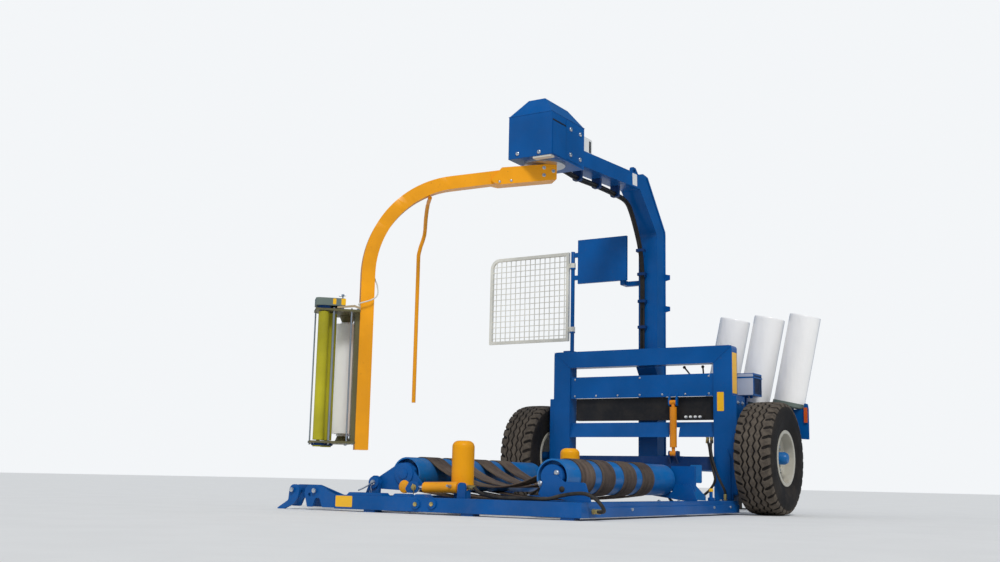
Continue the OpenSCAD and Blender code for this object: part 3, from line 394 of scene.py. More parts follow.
finish("brushedSteel", (0.52, 0.54, 0.55), 0.36, metal=0.85, dust=0.10, pattern=brushPattern)
finish("goldZinc", (0.62, 0.46, 0.16), 0.34, metal=0.85, dust=0.18, vary=0.25)
finish("galvanised", (0.78, 0.75, 0.66), 0.42, metal=0.25, dust=0.08, vary=0.15)
finish("filmWhite", (0.95, 0.94, 0.93), 0.24, coat=0.4, dust=0.0, gloss=0.5, vary=0.02, pattern=filmPattern,
       skin=(60.0, 0.0008, 9.0, 0.004))
finish("cardboard", (0.36, 0.24, 0.13), 0.8, dust=0.1)
finish("oliveSteel", (0.145, 0.130, 0.060), 0.45, metal=0.2, dust=0.20, chip=(0.3, 0.27, 0.2), chips=0.5)
finish("oliveRubber", (0.42, 0.38, 0.012), 0.52, dust=0.12, vary=0.2, skin=(140.0, 0.0006, 10.0, 0.0006))
finish("coverGrey", (0.145, 0.185, 0.165), 0.46, dust=0.12, skin=(420.0, 0.0002, 10.0, 0.0004))
finish("tanLever", (0.40, 0.31, 0.19), 0.5, dust=0.1)
finish("gearBlue", (0.004, 0.035, 0.125), 0.4, dust=0.1)
finish("lampRed", (0.62, 0.10, 0.015), 0.18, coat=1.0, dust=0.03, vary=0.05)
finish("stickerYellow", (0.93, 0.50, 0.008), 0.35, coat=0.4, dust=0.05, vary=0.03)
finish("stickerWhite", (0.84, 0.84, 0.82), 0.35, coat=0.4, dust=0.05, vary=0.03)
finish("ironBlack", (0.025, 0.025, 0.027), 0.5, metal=0.3, dust=0.2, chip=(0.12, 0.07, 0.04), chips=0.6)
finish("cableWhite", (0.62, 0.62, 0.56), 0.5, dust=0.1)
# Pale blue-grey: painted reflection of the sky on the control box's blue rear face
finish("skyReflectionPaint", (0.46, 0.50, 0.60), 0.35, coat=0.2, dust=0.10)
finish("studioFloor", studio["floor"], 0.85, dust=0.0, vary=0.015, skin=(80.0, 0.0, 3.0, 0.0))
print("materials made:", len(materials))


# Mesh piece on its body; doubled points are welded unless the faces must keep their order
def meshPiece(name, points, faces, finishName, body, weld=True):
    mesh = bpy.data.meshes.new(name)
    mesh.from_pydata(np.asarray(points, float).reshape(-1, 3).tolist(), [], [list(map(int, f)) for f in faces])
    work = bmesh.new()
    work.from_mesh(mesh)
    if weld:
        bmesh.ops.remove_doubles(work, verts=work.verts, dist=1e-6)
    bmesh.ops.recalc_face_normals(work, faces=work.faces)
    work.to_mesh(mesh)
    work.free()
    mesh.polygons.foreach_set("use_smooth", [True] * len(mesh.polygons))
    mesh.materials.append(materials[finishName])
    piece = bpy.data.objects.new(name, mesh)
    bpy.context.scene.collection.objects.link(piece)
    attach(piece, body)
    return piece


# Several parts of one finish and body, joined into one mesh; creases over the angle stay crisp
def joined(name, parts, finishName, body="chassis", degrees=35.0):
    points, faces, count = [], [], 0
    for partPoints, partFaces in parts:
        points.append(partPoints)
        faces += [[i + count for i in face] for face in partFaces]
        count += len(partPoints)
    piece = meshPiece(name, np.concatenate(points), faces, finishName, body)
    piece.data.set_sharp_from_angle(angle=math.radians(degrees))
    return piece


# Quads between rows of points that are rings, or between lines whose last row meets the first
def gridFaces(rows, cols, rings=True):
    a = np.arange(rows * cols).reshape(rows, cols)
    if rings:
        b = a[1:]
        a = a[:-1]
        quads = [a, np.roll(a, -1, 1), np.roll(b, -1, 1), b]
    else:
        b = np.roll(a, -1, 0)
        quads = [a[:, :-1], a[:, 1:], b[:, 1:], b[:, :-1]]
    return np.stack(quads, -1).reshape(-1, 4).tolist()


# Turned part: radius and height rows carried round an axis; radius 0 closes an end with a pinhole
def turned(profile, centre, axis, sides=32):
    p = np.asarray(profile, float)
    w = unit(axis)
    u = unit(np.cross(up if abs(w[2]) < 0.9 else right, w))
    t = around(sides)
    ring = np.cos(t)[:, None] * u + np.sin(t)[:, None] * np.cross(w, u)
    radius = np.maximum(p[:, 0], 1e-5)
    points = np.asarray(centre, float) + radius[:, None, None] * ring[None] + p[:, 1, None, None] * w
    return points.reshape(-1, 3), gridFaces(len(p), sides)


# Smooth route through given points: each stretch is the cubic that passes its two ends
def smoothRoute(route, steps):
    p = np.asarray(route, float)
    p = np.concatenate([p[:1], p, p[-1:]])
    a, b, c, d = p[:-3, None], p[1:-2, None], p[2:-1, None], p[3:, None]
    t = (np.arange(steps) / steps)[None, :, None]
    curve = 0.5 * (2 * b + (c - a) * t + (2 * a - 5 * b + 4 * c - d) * t ** 2 + (3 * b - a - 3 * c + d) * t ** 3)
    return np.concatenate([curve.reshape(-1, 3), p[-1:]])


# Tube: a ring carried along a line, each ring square to the line; the radius may change along it
def tube(line, radius, sides=12, side=(0.31, 0.93, 0.2)):
    line = np.asarray(line, float)
    along = unit(np.gradient(line, axis=0))
    u = unit(np.cross(along, side))
    v = np.cross(along, u)
    t = around(sides)
    r = np.broadcast_to(np.asarray(radius, float), len(line))[:, None, None]
    rings = line[:, None] + r * (np.cos(t)[None, :, None] * u[:, None] + np.sin(t)[None, :, None] * v[:, None])
    last = (len(line) - 1) * sides
    ends = [list(range(sides)), [last + i for i in range(sides)][::-1]]
    return rings.reshape(-1, 3), gridFaces(len(line), sides) + ends


# Plate: an outline in a plane, thickened along the plane's normal
def plate(outline, origin, across, upward, thickness):
    o = np.asarray(outline, float)
    a, b = unit(across), unit(upward)
    flat = np.asarray(origin, float) + o[:, :1] * a + o[:, 1:2] * b
    n = len(o)
    sides = [[i, (i + 1) % n, (i + 1) % n + n, i + n] for i in range(n)]
    points = np.concatenate([flat, flat + np.cross(a, b) * thickness])
    return points, sides + [list(range(n))[::-1], [i + n for i in range(n)]]


# Outline of a rectangle with round corners, centred on its own middle
def roundRect(width, height, radius, steps=5):
    t = np.linspace(0, math.pi / 2, steps)
    return np.concatenate([np.stack([sx * (width / 2 - radius) + radius * np.cos(t + q * math.pi / 2),
                                     sy * (height / 2 - radius) + radius * np.sin(t + q * math.pi / 2)], -1)
                           for sx, sy, q in ((1, 1, 0), (-1, 1, 1), (-1, -1, 2), (1, -1, 3))])


# Outline of corners [a, b, radius]: each corner becomes an arc that meets both its sides
def roundOutline(rows, steps=6):
    rows = np.asarray(rows, float)
    p, r = rows[:, :2], rows[:, 2]
    u, v = unit(np.roll(p, 1, 0) - p), unit(np.roll(p, -1, 0) - p)
    half = np.arccos(np.clip((u * v).sum(1), -1, 1)) / 2
    mid = p + unit(u + v) * (r / np.sin(half))[:, None]
    first = p + u * (r / np.tan(half))[:, None] - mid
    last = p + v * (r / np.tan(half))[:, None] - mid
    start = np.arctan2(first[:, 1], first[:, 0])
    turn = (np.arctan2(last[:, 1], last[:, 0]) - start + 3 * math.pi) % (2 * math.pi) - math.pi
    angle = start[:, None] + turn[:, None] * np.linspace(0, 1, steps)
    arcs = mid[:, None] + r[:, None, None] * np.stack([np.cos(angle), np.sin(angle)], -1)
    return arcs[np.where(r[:, None] > 0, True, np.arange(steps)[None] == 0)]


# Builders for the trim tables below, in millimetres: each takes its body, then the measures of one part.
# A sheet's shape is (width, height, corner radius), corners with a radius each, or plain corners
def sheet(body, shape, place, across, upward, thickness):
    if isinstance(shape, tuple):
        outline = roundRect(*shape)
    else:
        outline = roundOutline(shape) if len(shape[0]) == 3 else shape
    flat = np.array(outline) / 1000
    return plate(flat, spot(place, body), way(across, body), way(upward, body), thickness / 1000)


signSheet = dict(corner=6, thickness=0.8)


def sign(body, width, height, place, across, upward=up):
    return sheet(body, (width, height, signSheet["corner"]), place, across, upward, signSheet["thickness"])


def lathe(body, profile, place, axis, sides):
    return turned(np.array(profile) / 1000, spot(place, body), way(axis, body), sides)


# Boss round a pin: a short turned disc with a soft edge, at most 4 wide, from the face outward
def boss(body, place, axis, radius, height):
    edge = min(4, height * 0.4)
    rows = [[0, 0], [radius, 0], [radius, height - edge], [radius - edge * 0.3, height - edge * 0.3],
            [radius - edge, height], [0, height]]
    return lathe(body, rows, place, axis, 32)


def bar(body, start, end, radius, count, sides):
    return tube(spot(np.linspace(start, end, count), body), np.array(radius) / 1000, sides)


def wire(body, route, radius, sides, steps=0):
    return tube(spot(smoothRoute(route, steps) if steps else route, body), radius / 1000, sides)


gearTooth = dict(height=3.5, slope=2.2, points=6)


# Gear: its edge swings between root and tip once a tooth
def gear(body, place, radius, teeth, height):
    a = around(teeth * gearTooth["points"])
    edge = (radius + gearTooth["height"] * np.clip(gearTooth["slope"] * np.sin(a * teeth), -1, 1)) / 1000
    outline = np.stack([edge * np.cos(a), edge * np.sin(a)], 1)
    return plate(outline, spot(place, body), right, front, height / 1000)


# A trim table of one body: finish and parts of each piece
def makeTrim(table, body="chassis"):
    for name, (finishName, parts) in table.items():
        joined(name, [build(body, *measures) for build, *measures in parts], finishName, body)


# Bolt parts in units of the bolt's size: profile and sides
arc = np.linspace(0, math.pi / 2, 6)[:-1]
boltParts = dict(
    washer=([[0, 0], [1.15, 0], [1.2, 0.05], [1.2, 0.16], [1.12, 0.2], [0, 0.2]], 18),
    head=([[0, 0.2], [1, 0.2], [1, 0.72], [0.86, 0.84], [0, 0.84]], 6),
    stud=([[0.5, 0.8], [0.5, 1.05], [0.42, 1.12], [0, 1.12]], 12),
    dome=([[1, 0], *zip(np.cos(arc), 0.12 + 0.62 * np.sin(arc)), [0, 0.74]], 18),
)
boltKinds = dict(dome=["dome"], hex=["washer", "head"], nut=["washer", "head", "stud"])


def makeBolts(name, rows, body="chassis"):
    parts = [lathe(body, np.array(boltParts[part][0]) * size, place, direction, boltParts[part][1])
             for kind, size, direction, places in rows for place in places for part in boltKinds[kind]]
    joined(name, parts, "zincSteel", body, 30.0)


nodeEdge = dict(weld=0.00002, segments=2, angle=math.radians(35))


# CAD nodes keep their shape: each gets a finish, and those with an edge width get doubles welded and edges
# rounded by modifiers
def dress(node, finishName, bevel):
    piece = frame["nodes"][node]
    piece.data.materials.clear()
    piece.data.materials.append(materials[finishName])
    if bevel:
        piece.modifiers.new("weld", "WELD").merge_threshold = nodeEdge["weld"]
        edge = piece.modifiers.new("edge", "BEVEL")
        edge.width = bevel
        edge.segments = nodeEdge["segments"]
        edge.limit_method = "ANGLE"
        edge.angle_limit = nodeEdge["angle"]
        edge.harden_normals = True


nodeFinish = dict(
    bluePaint="axle_stubs rear_beam side_beams hook_plates portal control_panel mast head_box roller_brackets "
              "roller_drive swing_bearings swing_arms guide_stands guard_panel roll_rack lamp_plates drawbar "
              "control_box",
    darkBluePaint="low_beam", rollerPaint="roller_right roller_left", amberPaint="lift_cylinder",
    yellowPaint="swing_cylinder wrap_arm safety_bar", guideYellow="guide_roller_rear guide_roller_front",
    blackPlastic="valve_recess", beltRubber="table_belts", chromeRod="swing_rod", zincSteel="rotor",
    oliveSteel="dispenser_frame", oliveRubber="stretch_rollers", coverGrey="gear_cover",
    filmWhite="dispenser_roll film_rolls", galvanised="mesh_guard", lampRed="lamps",
    ironBlack="towing_eye jack", rimPaint="rim_left rim_right",
)
edgeWidth = dict(
    portal=0.004, side_beams=0.003, rear_beam=0.003, low_beam=0.003, mast=0.003, head_box=0.003, drawbar=0.004,
    wrap_arm=0.005, guard_panel=0.002, control_panel=0.002, control_box=0.003, hook_plates=0.002, roll_rack=0.002,
    swing_arms=0.002, roller_brackets=0.002, gear_cover=0.004, guide_stands=0.002,
)
for finishName, nodes in nodeFinish.items():
    for node in nodes.split():
        dress(node, finishName, edgeWidth.get(node, 0))
print("nodes dressed")

wheelCentre = (1030, 1780, 435)  # the right one, in millimetres; the tyre itself is in metres

# Wall: radius and distance from the tyre's middle, bead to shoulder. Rings: low moulded rings on the wall
tyreSize = dict(
    radius=0.435, pitches=34, perPitch=18, treadHalf=0.122, acrossTread=78,
    wall=[(0.200, 0.125), (0.212, 0.131), (0.235, 0.134), (0.285, 0.1465), (0.3275, 0.150), (0.375, 0.1475),
          (0.403, 0.1425), (0.418, 0.136), (0.427, 0.125)],
    crownDrop=0.0025, crownHalf=0.09, edgeDrop=0.007, edgeFrom=0.085, edgeWide=0.037, treadFrom=0.38,
    groove=0.012, grooveHalf=0.0056, zigzag=0.0085, grooves=(-0.066, -0.023, 0.023, 0.066), slotHalf=0.0092,
    flank=0.0022, rings=((0.300, 0.004), (0.262, 0.003), (0.365, 0.003)), ringHeight=0.0016,
)


# How far a value has come over a span from a start, 0 to 1
def portion(value, start, span):
    return np.clip((value - start) / span, 0, 1)


# Tyre: a bead-to-bead profile turned round the axle. Each tread point drops by the groove depth where it lies
# near a zigzag line round the tyre, or in a slot across the shoulder
def makeTyre(side, word, s):
    wall = smoothRoute([(r, w, 0) for r, w in s["wall"]], 3)[:, :2]
    w = np.linspace(s["treadHalf"], -s["treadHalf"], s["acrossTread"])
    edge = portion(np.abs(w), s["edgeFrom"], s["edgeWide"])
    crown = s["radius"] - s["crownDrop"] * (w / s["crownHalf"]) ** 2 - s["edgeDrop"] * edge ** 2
    profile = np.concatenate([wall[:-1], np.stack([crown, w], -1), wall[:-1][::-1] * [1, -1]])
    n = s["pitches"] * s["perPitch"]
    a = around(n)
    radius = np.broadcast_to(profile[:, 0], (n, len(profile))).copy()
    across = np.broadcast_to(profile[:, 1], (n, len(profile))).copy()
    phase = a[:, None] * s["pitches"] / (2 * math.pi)
    wave = np.abs((phase % 1.0) - 0.5) * 4 - 1  # a triangle wave, once a pitch
    cut = np.zeros_like(radius)
    for k, middle in enumerate(s["grooves"]):
        line = middle + s["zigzag"] * wave * (1 if k % 2 else -1)
        cut = np.maximum(cut, 1 - portion(np.abs(across - line), s["grooveHalf"], s["flank"]))
    step = 2 * math.pi * s["radius"] / s["pitches"]
    shift = np.where(across > 0, 0.25, 0.75)
    lean = 0.4 * np.clip(np.abs(across) - 0.078, 0, 1) / step
    off = np.abs(((phase + shift + lean) % 1.0) - 0.5) * step
    slotHalf = s["slotHalf"] * np.clip((np.abs(across) - 0.06) / 0.03, 0.4, 1.25)  # wider to the shoulder
    outer = portion(np.abs(across), 0.080, 0.006) * portion(radius, 0.385, 0.02)
    cut = np.maximum(cut, (1 - portion(off - slotHalf, 0, s["flank"])) * outer)
    depth = np.where(radius > s["treadFrom"], s["groove"] * cut, 0)
    sink = portion(np.abs(across), 0.110, 0.035)  # on the shoulder the cuts go inward from the side
    radius = radius - depth * (1 - 0.6 * sink)
    across = across - np.sign(across) * depth * 0.75 * sink
    for ring, wide in s["rings"]:
        swell = s["ringHeight"] * np.exp(-((radius - ring) / wide) ** 2) * (np.abs(across) > 0.12)
        across = across + np.sign(across) * swell
    points = np.stack([across * side, radius * np.cos(a)[:, None], radius * np.sin(a)[:, None]], -1)
    first = np.arange(n) * len(profile)
    last = first + len(profile) - 1
    inner = np.stack([first, np.roll(first, -1), np.roll(last, -1), last], -1).tolist()
    body = "wheel_" + word
    piece = meshPiece("tyre" + word.title(), points + spot(np.array(wheelCentre) * (side, 1, 1), body),
                      gridFaces(n, len(profile), rings=False) + inner, "tyreRubber", body, weld=False)
    # Soil share: full on the tread blocks, none in the grooves, little on the wall; the black grooves are painted
    # shade
    shade = np.where(radius > 0.40, 1 - cut, 0.12 + 0.25 * portion(radius, 0.3, 0.1))
    attribute = piece.data.attributes.new("depth", "FLOAT", "POINT")
    attribute.data.foreach_set("value", shade.astype(np.float32).ravel())
    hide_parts("tyre_" + word)


hubSize = dict(
    cap=[[0, 146.5], [30, 146.5], [36, 145.5], [48.5, 124], [48.5, 61], [54.5, 55], [54.5, 42.5], [0, 42.5]],
    nut=13, nutFace=58, circle=102.5, valveFace=30, valveCircle=150, valveAngle=math.radians(-52),
    valveLength=32, valveLean=12, valveRadii=[5.5, 4.5, 4.5, 6, 6],
)


# Hub: a blue grease cap over the axle's end, wheel nuts on studs, and the valve in the dish
def makeHub(side, word, s):
    body, centre, axis = "wheel_" + word, np.array(wheelCentre) * (side, 1, 1), (side, 0, 0)
    hub = joined("hubCap" + word, [lathe(body, s["cap"], centre, axis, 40)], "rollerPaint", body)
    places = [centre + (side * s["nutFace"], s["circle"] * math.cos(t), s["circle"] * math.sin(t))
              for t in np.arange(6) * math.pi / 3]
    makeBolts("wheelNuts" + word, [("nut", s["nut"], axis, places)], body)
    outward = np.array([0, math.cos(s["valveAngle"]), math.sin(s["valveAngle"])])
    foot = centre + outward * s["valveCircle"] + (side * s["valveFace"], 0, 0)
    tip = foot - outward * s["valveLean"] + (side * s["valveLength"], 0, 0)
    joined("valve" + word, [bar(body, foot, tip, s["valveRadii"], 5, 12)], "hoseRubber", body)


for side, word in zip(bothSides, ("left", "right")):
    makeTyre(side, word, tyreSize)
    makeHub(side, word, hubSize)
print("wheels made")

hoseRoutes = dict(
    table=[(-33, -847, 175), (20, -853, 170), (110, -915, 140), (260, -945, 118.5), (480, -945, 118.5),
           (600, -945, 120), (680, -948, 138), (770, -952, 153), (850, -950, 155), (909, -945, 132),
           (947, -933, 94), (949, -900, 62), (915, -860, 52), (875, -845, 52), (845.9, -845, 52)],
    column=[(584, 1630, 591.1), (584, 1630, 566), (600, 1622, 510), (624, 1598, 410), (650, 1574, 330),
            (668, 1560, 258), (640, 1538, 190), (582, 1500, 130), (544, 1410, 95), (550, 1230, 66),
            (564, 1070, 72), (550, 970, 110), (550, 942, 155), (550, 940, 182), (550, 940, 204.4)],
    feed=[(615, 1630, 591.1), (615, 1630, 566), (617, 1610, 510), (634, 1588, 440), (656, 1574, 380),
          (682, 1564, 315), (716, 1556, 245), (746, 1552, 190), (754, 1552, 158), (754, 1552, 130),
          (754, 1552, 105.6)],
    mast=[(-40, 275.6, 2530), (-40, 335, 2530), (-40, 395, 2529), (-40, 600, 2522), (-40, 900, 2536),
          (-40, 1200, 2540), (-40, 1420, 2528), (-40, 1540, 2450), (-40, 1683, 2240), (-40, 1741, 2080),
          (-40, 1761, 1880), (-40, 1761, 1692), (-40, 1761, 1432), (-40, 1761, 1312.6)],
    cable=[(1194, 0, 1560), (1180, 20, 1520), (1180, 60, 1450), (1220, 80, 1410), (1300, 80, 1380),
           (1300, 80, 1360), (1300, 80, 1334.6)],
)
ribDepth = 0.0007


# Hose: a tube on its route; a ribbed one adds rings, as a wave of the radius along the length
def makeHose(name, route, diameter, node, ribs=0.0, shift=(0, 0, 0), body="chassis", finishName="hoseRubber"):
    line = spot(smoothRoute(hoseRoutes[route], 12) + shift, body)
    span = np.concatenate([[0], np.cumsum(np.linalg.norm(np.diff(line, axis=0), axis=1))])
    radius = diameter / 2
    if ribs:
        even = np.linspace(0, span[-1], int(span[-1] / (ribs / 5)))
        line = np.stack([np.interp(even, span, line[:, k]) for k in range(3)], 1)
        radius = radius - ribDepth + ribDepth * np.sin(even * 2 * math.pi / ribs)
    piece = joined(name, [tube(line, radius, 14)], finishName, body, 50)
    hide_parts(node)
    return line


# Crimped ferrules and hexagon nuts in units of the hose's radius, at both ends of each hydraulic hose
ferrule = np.array([[0, 0], [1.35, 0], [1.35, 1.1], [1.08, 1.25], [1.08, 1.7], [1.3, 1.9], [1.3, 4.4],
                    [1.12, 4.8], [0, 4.8]])
hoseEnds = [(makeHose("tableHose", "table", 0.024, "table_hose", ribs=0.009), 0.0115),
            (makeHose("columnHose", "column", 0.020, "column_hoses"), 0.010),
            (makeHose("feedHose", "feed", 0.020, "column_hoses"), 0.010)]
joined("hoseFerrules", [turned(ferrule * radius, line[i], line[j] - line[i], 18)
                        for line, radius in hoseEnds for i, j in ((0, 4), (-1, -5))], "goldZinc")
for k, shift in enumerate([(-11, 0, 0), (11, 0, 2), (0, 0, -13), (0, 0, 13)]):
    makeHose("mastHose%d" % (k + 1), "mast", 0.019, "mast_hoses", shift=shift)
makeHose("armCable", "cable", 0.009, "arm_cable", body="arm", finishName="cableWhite")
print("hoses made")

# Bolts of the frame, then of the wrap arm: kind, size, direction and places
bolts = dict(
    headBolts=[("dome", 16, back, [(-100, -215, 2520), (77, -215, 2511)]),
               ("dome", 17, right, [(182, y, z) for y in (55, 200) for z in (2734, 2544)])],
    frameBolts=[("nut", 10, up, [(756, 309, 105), (793, 561, 105), (790, 1365, 105), (-790, 309, 105),
                                 (-790, 1200, 105)]),
                ("hex", 9, right, [(845, y, 60) for y in (1087, 1420, -300)]),
                ("hex", 7, back, [(x, 1622, 935) for x in (-600, -400, -200, 0, 200, 400, 600)]),
                ("hex", 7, back, [(x, 1622, 1074) for x in (-600, 0, 600)])]
    + [("dome", 18, (0, s, 0), [(584.9, s * 814.5, 275.1), (470.9, s * 814.5, 209.6)]) for s in bothSides]
    + [("nut", 12, (s, 0, 0), [(s * 831, y, z) for y in (1640, 1740) for z in (300, 620, 860)])
       for s in bothSides],
    drawbarBolts=[("nut", 12, (s, 0, 0), [(s * 60.5, y, z) for y in (4060, 4120) for z in (375, 425)])
                  for s in bothSides],
    jackBolts=[("hex", 9, right, [(68.5, y, z) for y in (3518, 3602) for z in (365, 435)])],
)
for name, rows in bolts.items():
    makeBolts(name, rows)
upper, lower = 1334, 440  # outer faces of the dispenser's plates
plateBolts = [(1310, 80), (1560, 80), (1570, -45), (1330, -200), (1420, -215)]
armBolts = dict(
    armBolts=[("hex", 11, (0, s, 0), [(20, s * 62, 2440), (20, s * 62, 2385), (-50, s * 62, 2420)])
              for s in bothSides]
    + [("dome", 10, (0, s, 0), [(260, s * 62, 2325), (345, s * 62, 2310)]) for s in bothSides],
    dispenserBolts=[("hex", 9, facing, [(*place, z) for place in plateBolts])
                    for facing, z in ((up, upper), (down, lower))]
    + [("hex", 9, right, [(1276, s * 20, z) for s in bothSides for z in (500, 750, 1000, 1260)]),
       ("hex", 6, right, [(1574, -30, 1380.3), (1574, 60, 1380.3)])],
)
for name, rows in armBolts.items():
    makeBolts(name, rows, "arm")
print("bolts stamped")

makeTrim(dict(
    columnSignTall=("stickerYellow", [(sign, 98, 323, (797, 1670, 1094.5), front)]),
    columnSignSmall=("stickerYellow", [(sign, 56, 149, (701, 1610, 868.5), right)]),
    beamSign=("stickerYellow", [(sign, 140, 72, (-919, -985, 64), right)]),
    boomSign=("stickerWhite", [(sign, 85, 98, (85, 1342.5, 2676), (0, 1, 0.0515), (0, -0.0515, 1))]),
))
makeTrim(dict(
    coverSignA=("stickerYellow", [(sign, 22, 40, (1470, 95, 1382), left)]),
    coverSignB=("stickerYellow", [(sign, 30, 44, (1410, 95, 1382), left)]),
), "arm")
print("signs laid")

# Head box trim: a bolted cover on the right wall, a service lid with a black strip over it as painted shadow
# in the gap, a seam under the eaves, and a zinc plate that shows below the right part
eaves = [(-178, -215, 2800), (178, -215, 2800), (178, 275, 2800), (-178, 275, 2800)]
makeTrim(dict(
    headCover=("bluePaint", [
        (sheet, (242, 290, 10), (177, 111, 2645), front, up, 5),
        (sheet, (196, 240, 10), (177, -106, 2612), front, up, 5)]),
    # Thin black sheet over the lid: painted shadow where the gap under the eaves is dark
    headGapShadow=("blackPlastic", [(sheet, (196, 10, 2), (177, -106, 2741), front, up, 3)]),
    headSeam=("bluePaint", [(bar, a, b, 2.8, 24, 8) for a, b in zip(eaves, eaves[1:] + eaves[:1])]),
    headFoot=("galvanised", [(sheet, (150, 55, 6), (95, -182, 2484.5), right, front, -12)]),
))
print("head box trimmed")

# Mast trim: edge strips down both front corners, tabs, saddle blocks between boom and hoses, bands round the
# hoses on the mast, and a plate with a dark mark
strip = [[1585, 2750], [1946, 2350], [1950, 2320], [1950, 350], [1930, 350], [1930, 2315], [1925, 2342],
         [1570, 2737]]
band = [[-36, 24], [-36, -20], [-26, -30], [26, -30], [36, -20], [36, 24], [31, 24], [31, -18], [24, -25],
        [-24, -25], [-31, -18], [-31, 24]]
makeTrim(dict(
    mastStrips=("bluePaint", [
        (sheet, strip, (84.5, 0, 0), front, up, 6), (sheet, strip[::-1], (-84.5, 0, 0), front, up, -6)]),
    mastTabs=("bluePaint", [
        (sheet, [[0, 0], [45, 10], [45, h - 10], [0, h]], (85, 1944, z), right, up, -8)
        for z, h in ((1655, 57), (1924, 60))]),
    hoseClips=("darkBluePaint", [
        (sheet, [[-36, h, 0], [-36, 0, 16], [36, 0, 16], [36, h, 0]], (-40, y, z), right, up, 34)
        for y, z, h in ((600, 2500, 83), (920, 2514, 85), (1250, 2516, 96))] + [
        (sheet, band, (-40, y, z), right, front, 24)
        for y, z in ((1761.5, 1500), (1761.5, 1720), (1753, 1950), (1727, 2150))]),
    boomPlate=("stickerWhite", [(sheet, (140, 125, 6), (80, 512, 2742), front, up, 3)]),
    boomPlateMark=("blackPlastic", [(sheet, (30, 90, 4), (82.5, 548, 2742), front, up, 1)]),
))
print("mast trimmed")

# Swing arm trim: pivot pins, bosses round the roller's pin, the pin at the rod's eye, the lock pin with its
# handle and clip, and the cylinder's sleeve with a port near its end. Wall: radius and distance along the run
sleeve = dict(
    start=(-378, -847, 165), run=(380, 0, 10), skip=8, port=227, radius=36,
    wall=[[14.5, 0], [32, 0], [36, 4], [36, 256], [31, 262], [29.5, 262], [29.5, 30], [14.5, 30], [14.5, 0]],
)
lean = unit(sleeve["run"])
sleeveStart = sleeve["start"] + lean * sleeve["skip"]
port = sleeveStart + lean * sleeve["port"] - (0, sleeve["radius"], 0)
makeTrim(dict(
    pivotPins=("zincSteel", [(boss, (-765, s * 867, 190), (0, s, 0), 19, 20) for s in bothSides]),
    rollerBosses=("bluePaint", [
        (boss, (-550, s * y, 250), (0, s, 0), radius, height)
        for y, radius, height in ((827, 72, 10), (837, 34, 8)) for s in bothSides]),
    eyeDisc=("yellowPaint", [(boss, (-538, -827, 168), back, 42, 16)]),
    eyePin=("goldZinc", [
        (boss, (-440, -867, 165), back, 13.5, 13), (boss, (-440, -868, 165), back, 20, 5),
        (wire, [(-444, -875.5, 187), (-438, -878.5, 165), (-432, -875.5, 139), (-436, -873.5, 125)], 3.2, 8)]),
    eyeTab=("bluePaint", [
        (sheet, [[36, -36, 30], [36, 40, 30], [-36, 40, 30], [-70, -10, 12], [-50, -36, 16]],
         (-440, -860.5, 165), right, up, 7.5)]),
    lockPin=("zincSteel", [
        (wire, [(-742, -894.5, 196), (-765, -895.5, 186), (-800, -895.5, 166), (-840, -895.5, 148),
                (-872, -895.5, 137)], 4.8, 10, 4),
        (wire, [(-765, -895.5, 180), (-768, -897.5, 158), (-762, -897.5, 136), (-766, -897.5, 116),
                (-774, -897.5, 124), (-771, -897.5, 142)], 2.4, 8, 4)]),
), "swing")
makeTrim(dict(
    cylinderSleeve=("yellowPaint", [(lathe, sleeve["wall"], sleeveStart, lean, 40)]),
    cylinderFitting=("zincSteel", [
        (lathe, [[0, 0], [11, 0], [11, 16], [0, 16]], port + (0, 2, 6), (0, -1, 0.1), 6),
        (lathe, [[0, 0], [7, 0], [7, 16], [8.5, 18], [8.5, 26], [0, 27]], port + (0, -14, 7.6),
         (0, -1, 0.1), 14)]),
), "swing_barrel")
print("swing arm trimmed")

# Rear beam trim: bosses at the swing arms' pivots, seats on its top, silver ends on the hook pins, and two
# ringed plugs in its face
plugs = ((-330, 62), (-205, 66))
makeTrim(dict(
    pivotBosses=("bluePaint", [(boss, (-765, s * 865, 190), (0, s, 0), 40, 14) for s in bothSides]),
    beamSeats=("bluePaint", [
        (sheet, [[a, 0], [b, 0], [b - 22, 20], [a + 22, 20]], (0, -894, 104.5), right, up, 84)
        for a, b in ((-905, -604), (-532, -400), (-366, -262))]),
    hookCaps=("zincSteel", [(boss, (x, -996, z), back, 16.5, 10) for x, z in ((-1168, 128), (-1366, 130))]),
    beamRings=("bluePaint", [(boss, (x, -984.5, z), back, 30, 14) for x, z in plugs]),
    beamPlugs=("goldZinc", [(boss, (x, -998, z), back, 14, 8) for x, z in plugs]),
))
print("rear beam trimmed")
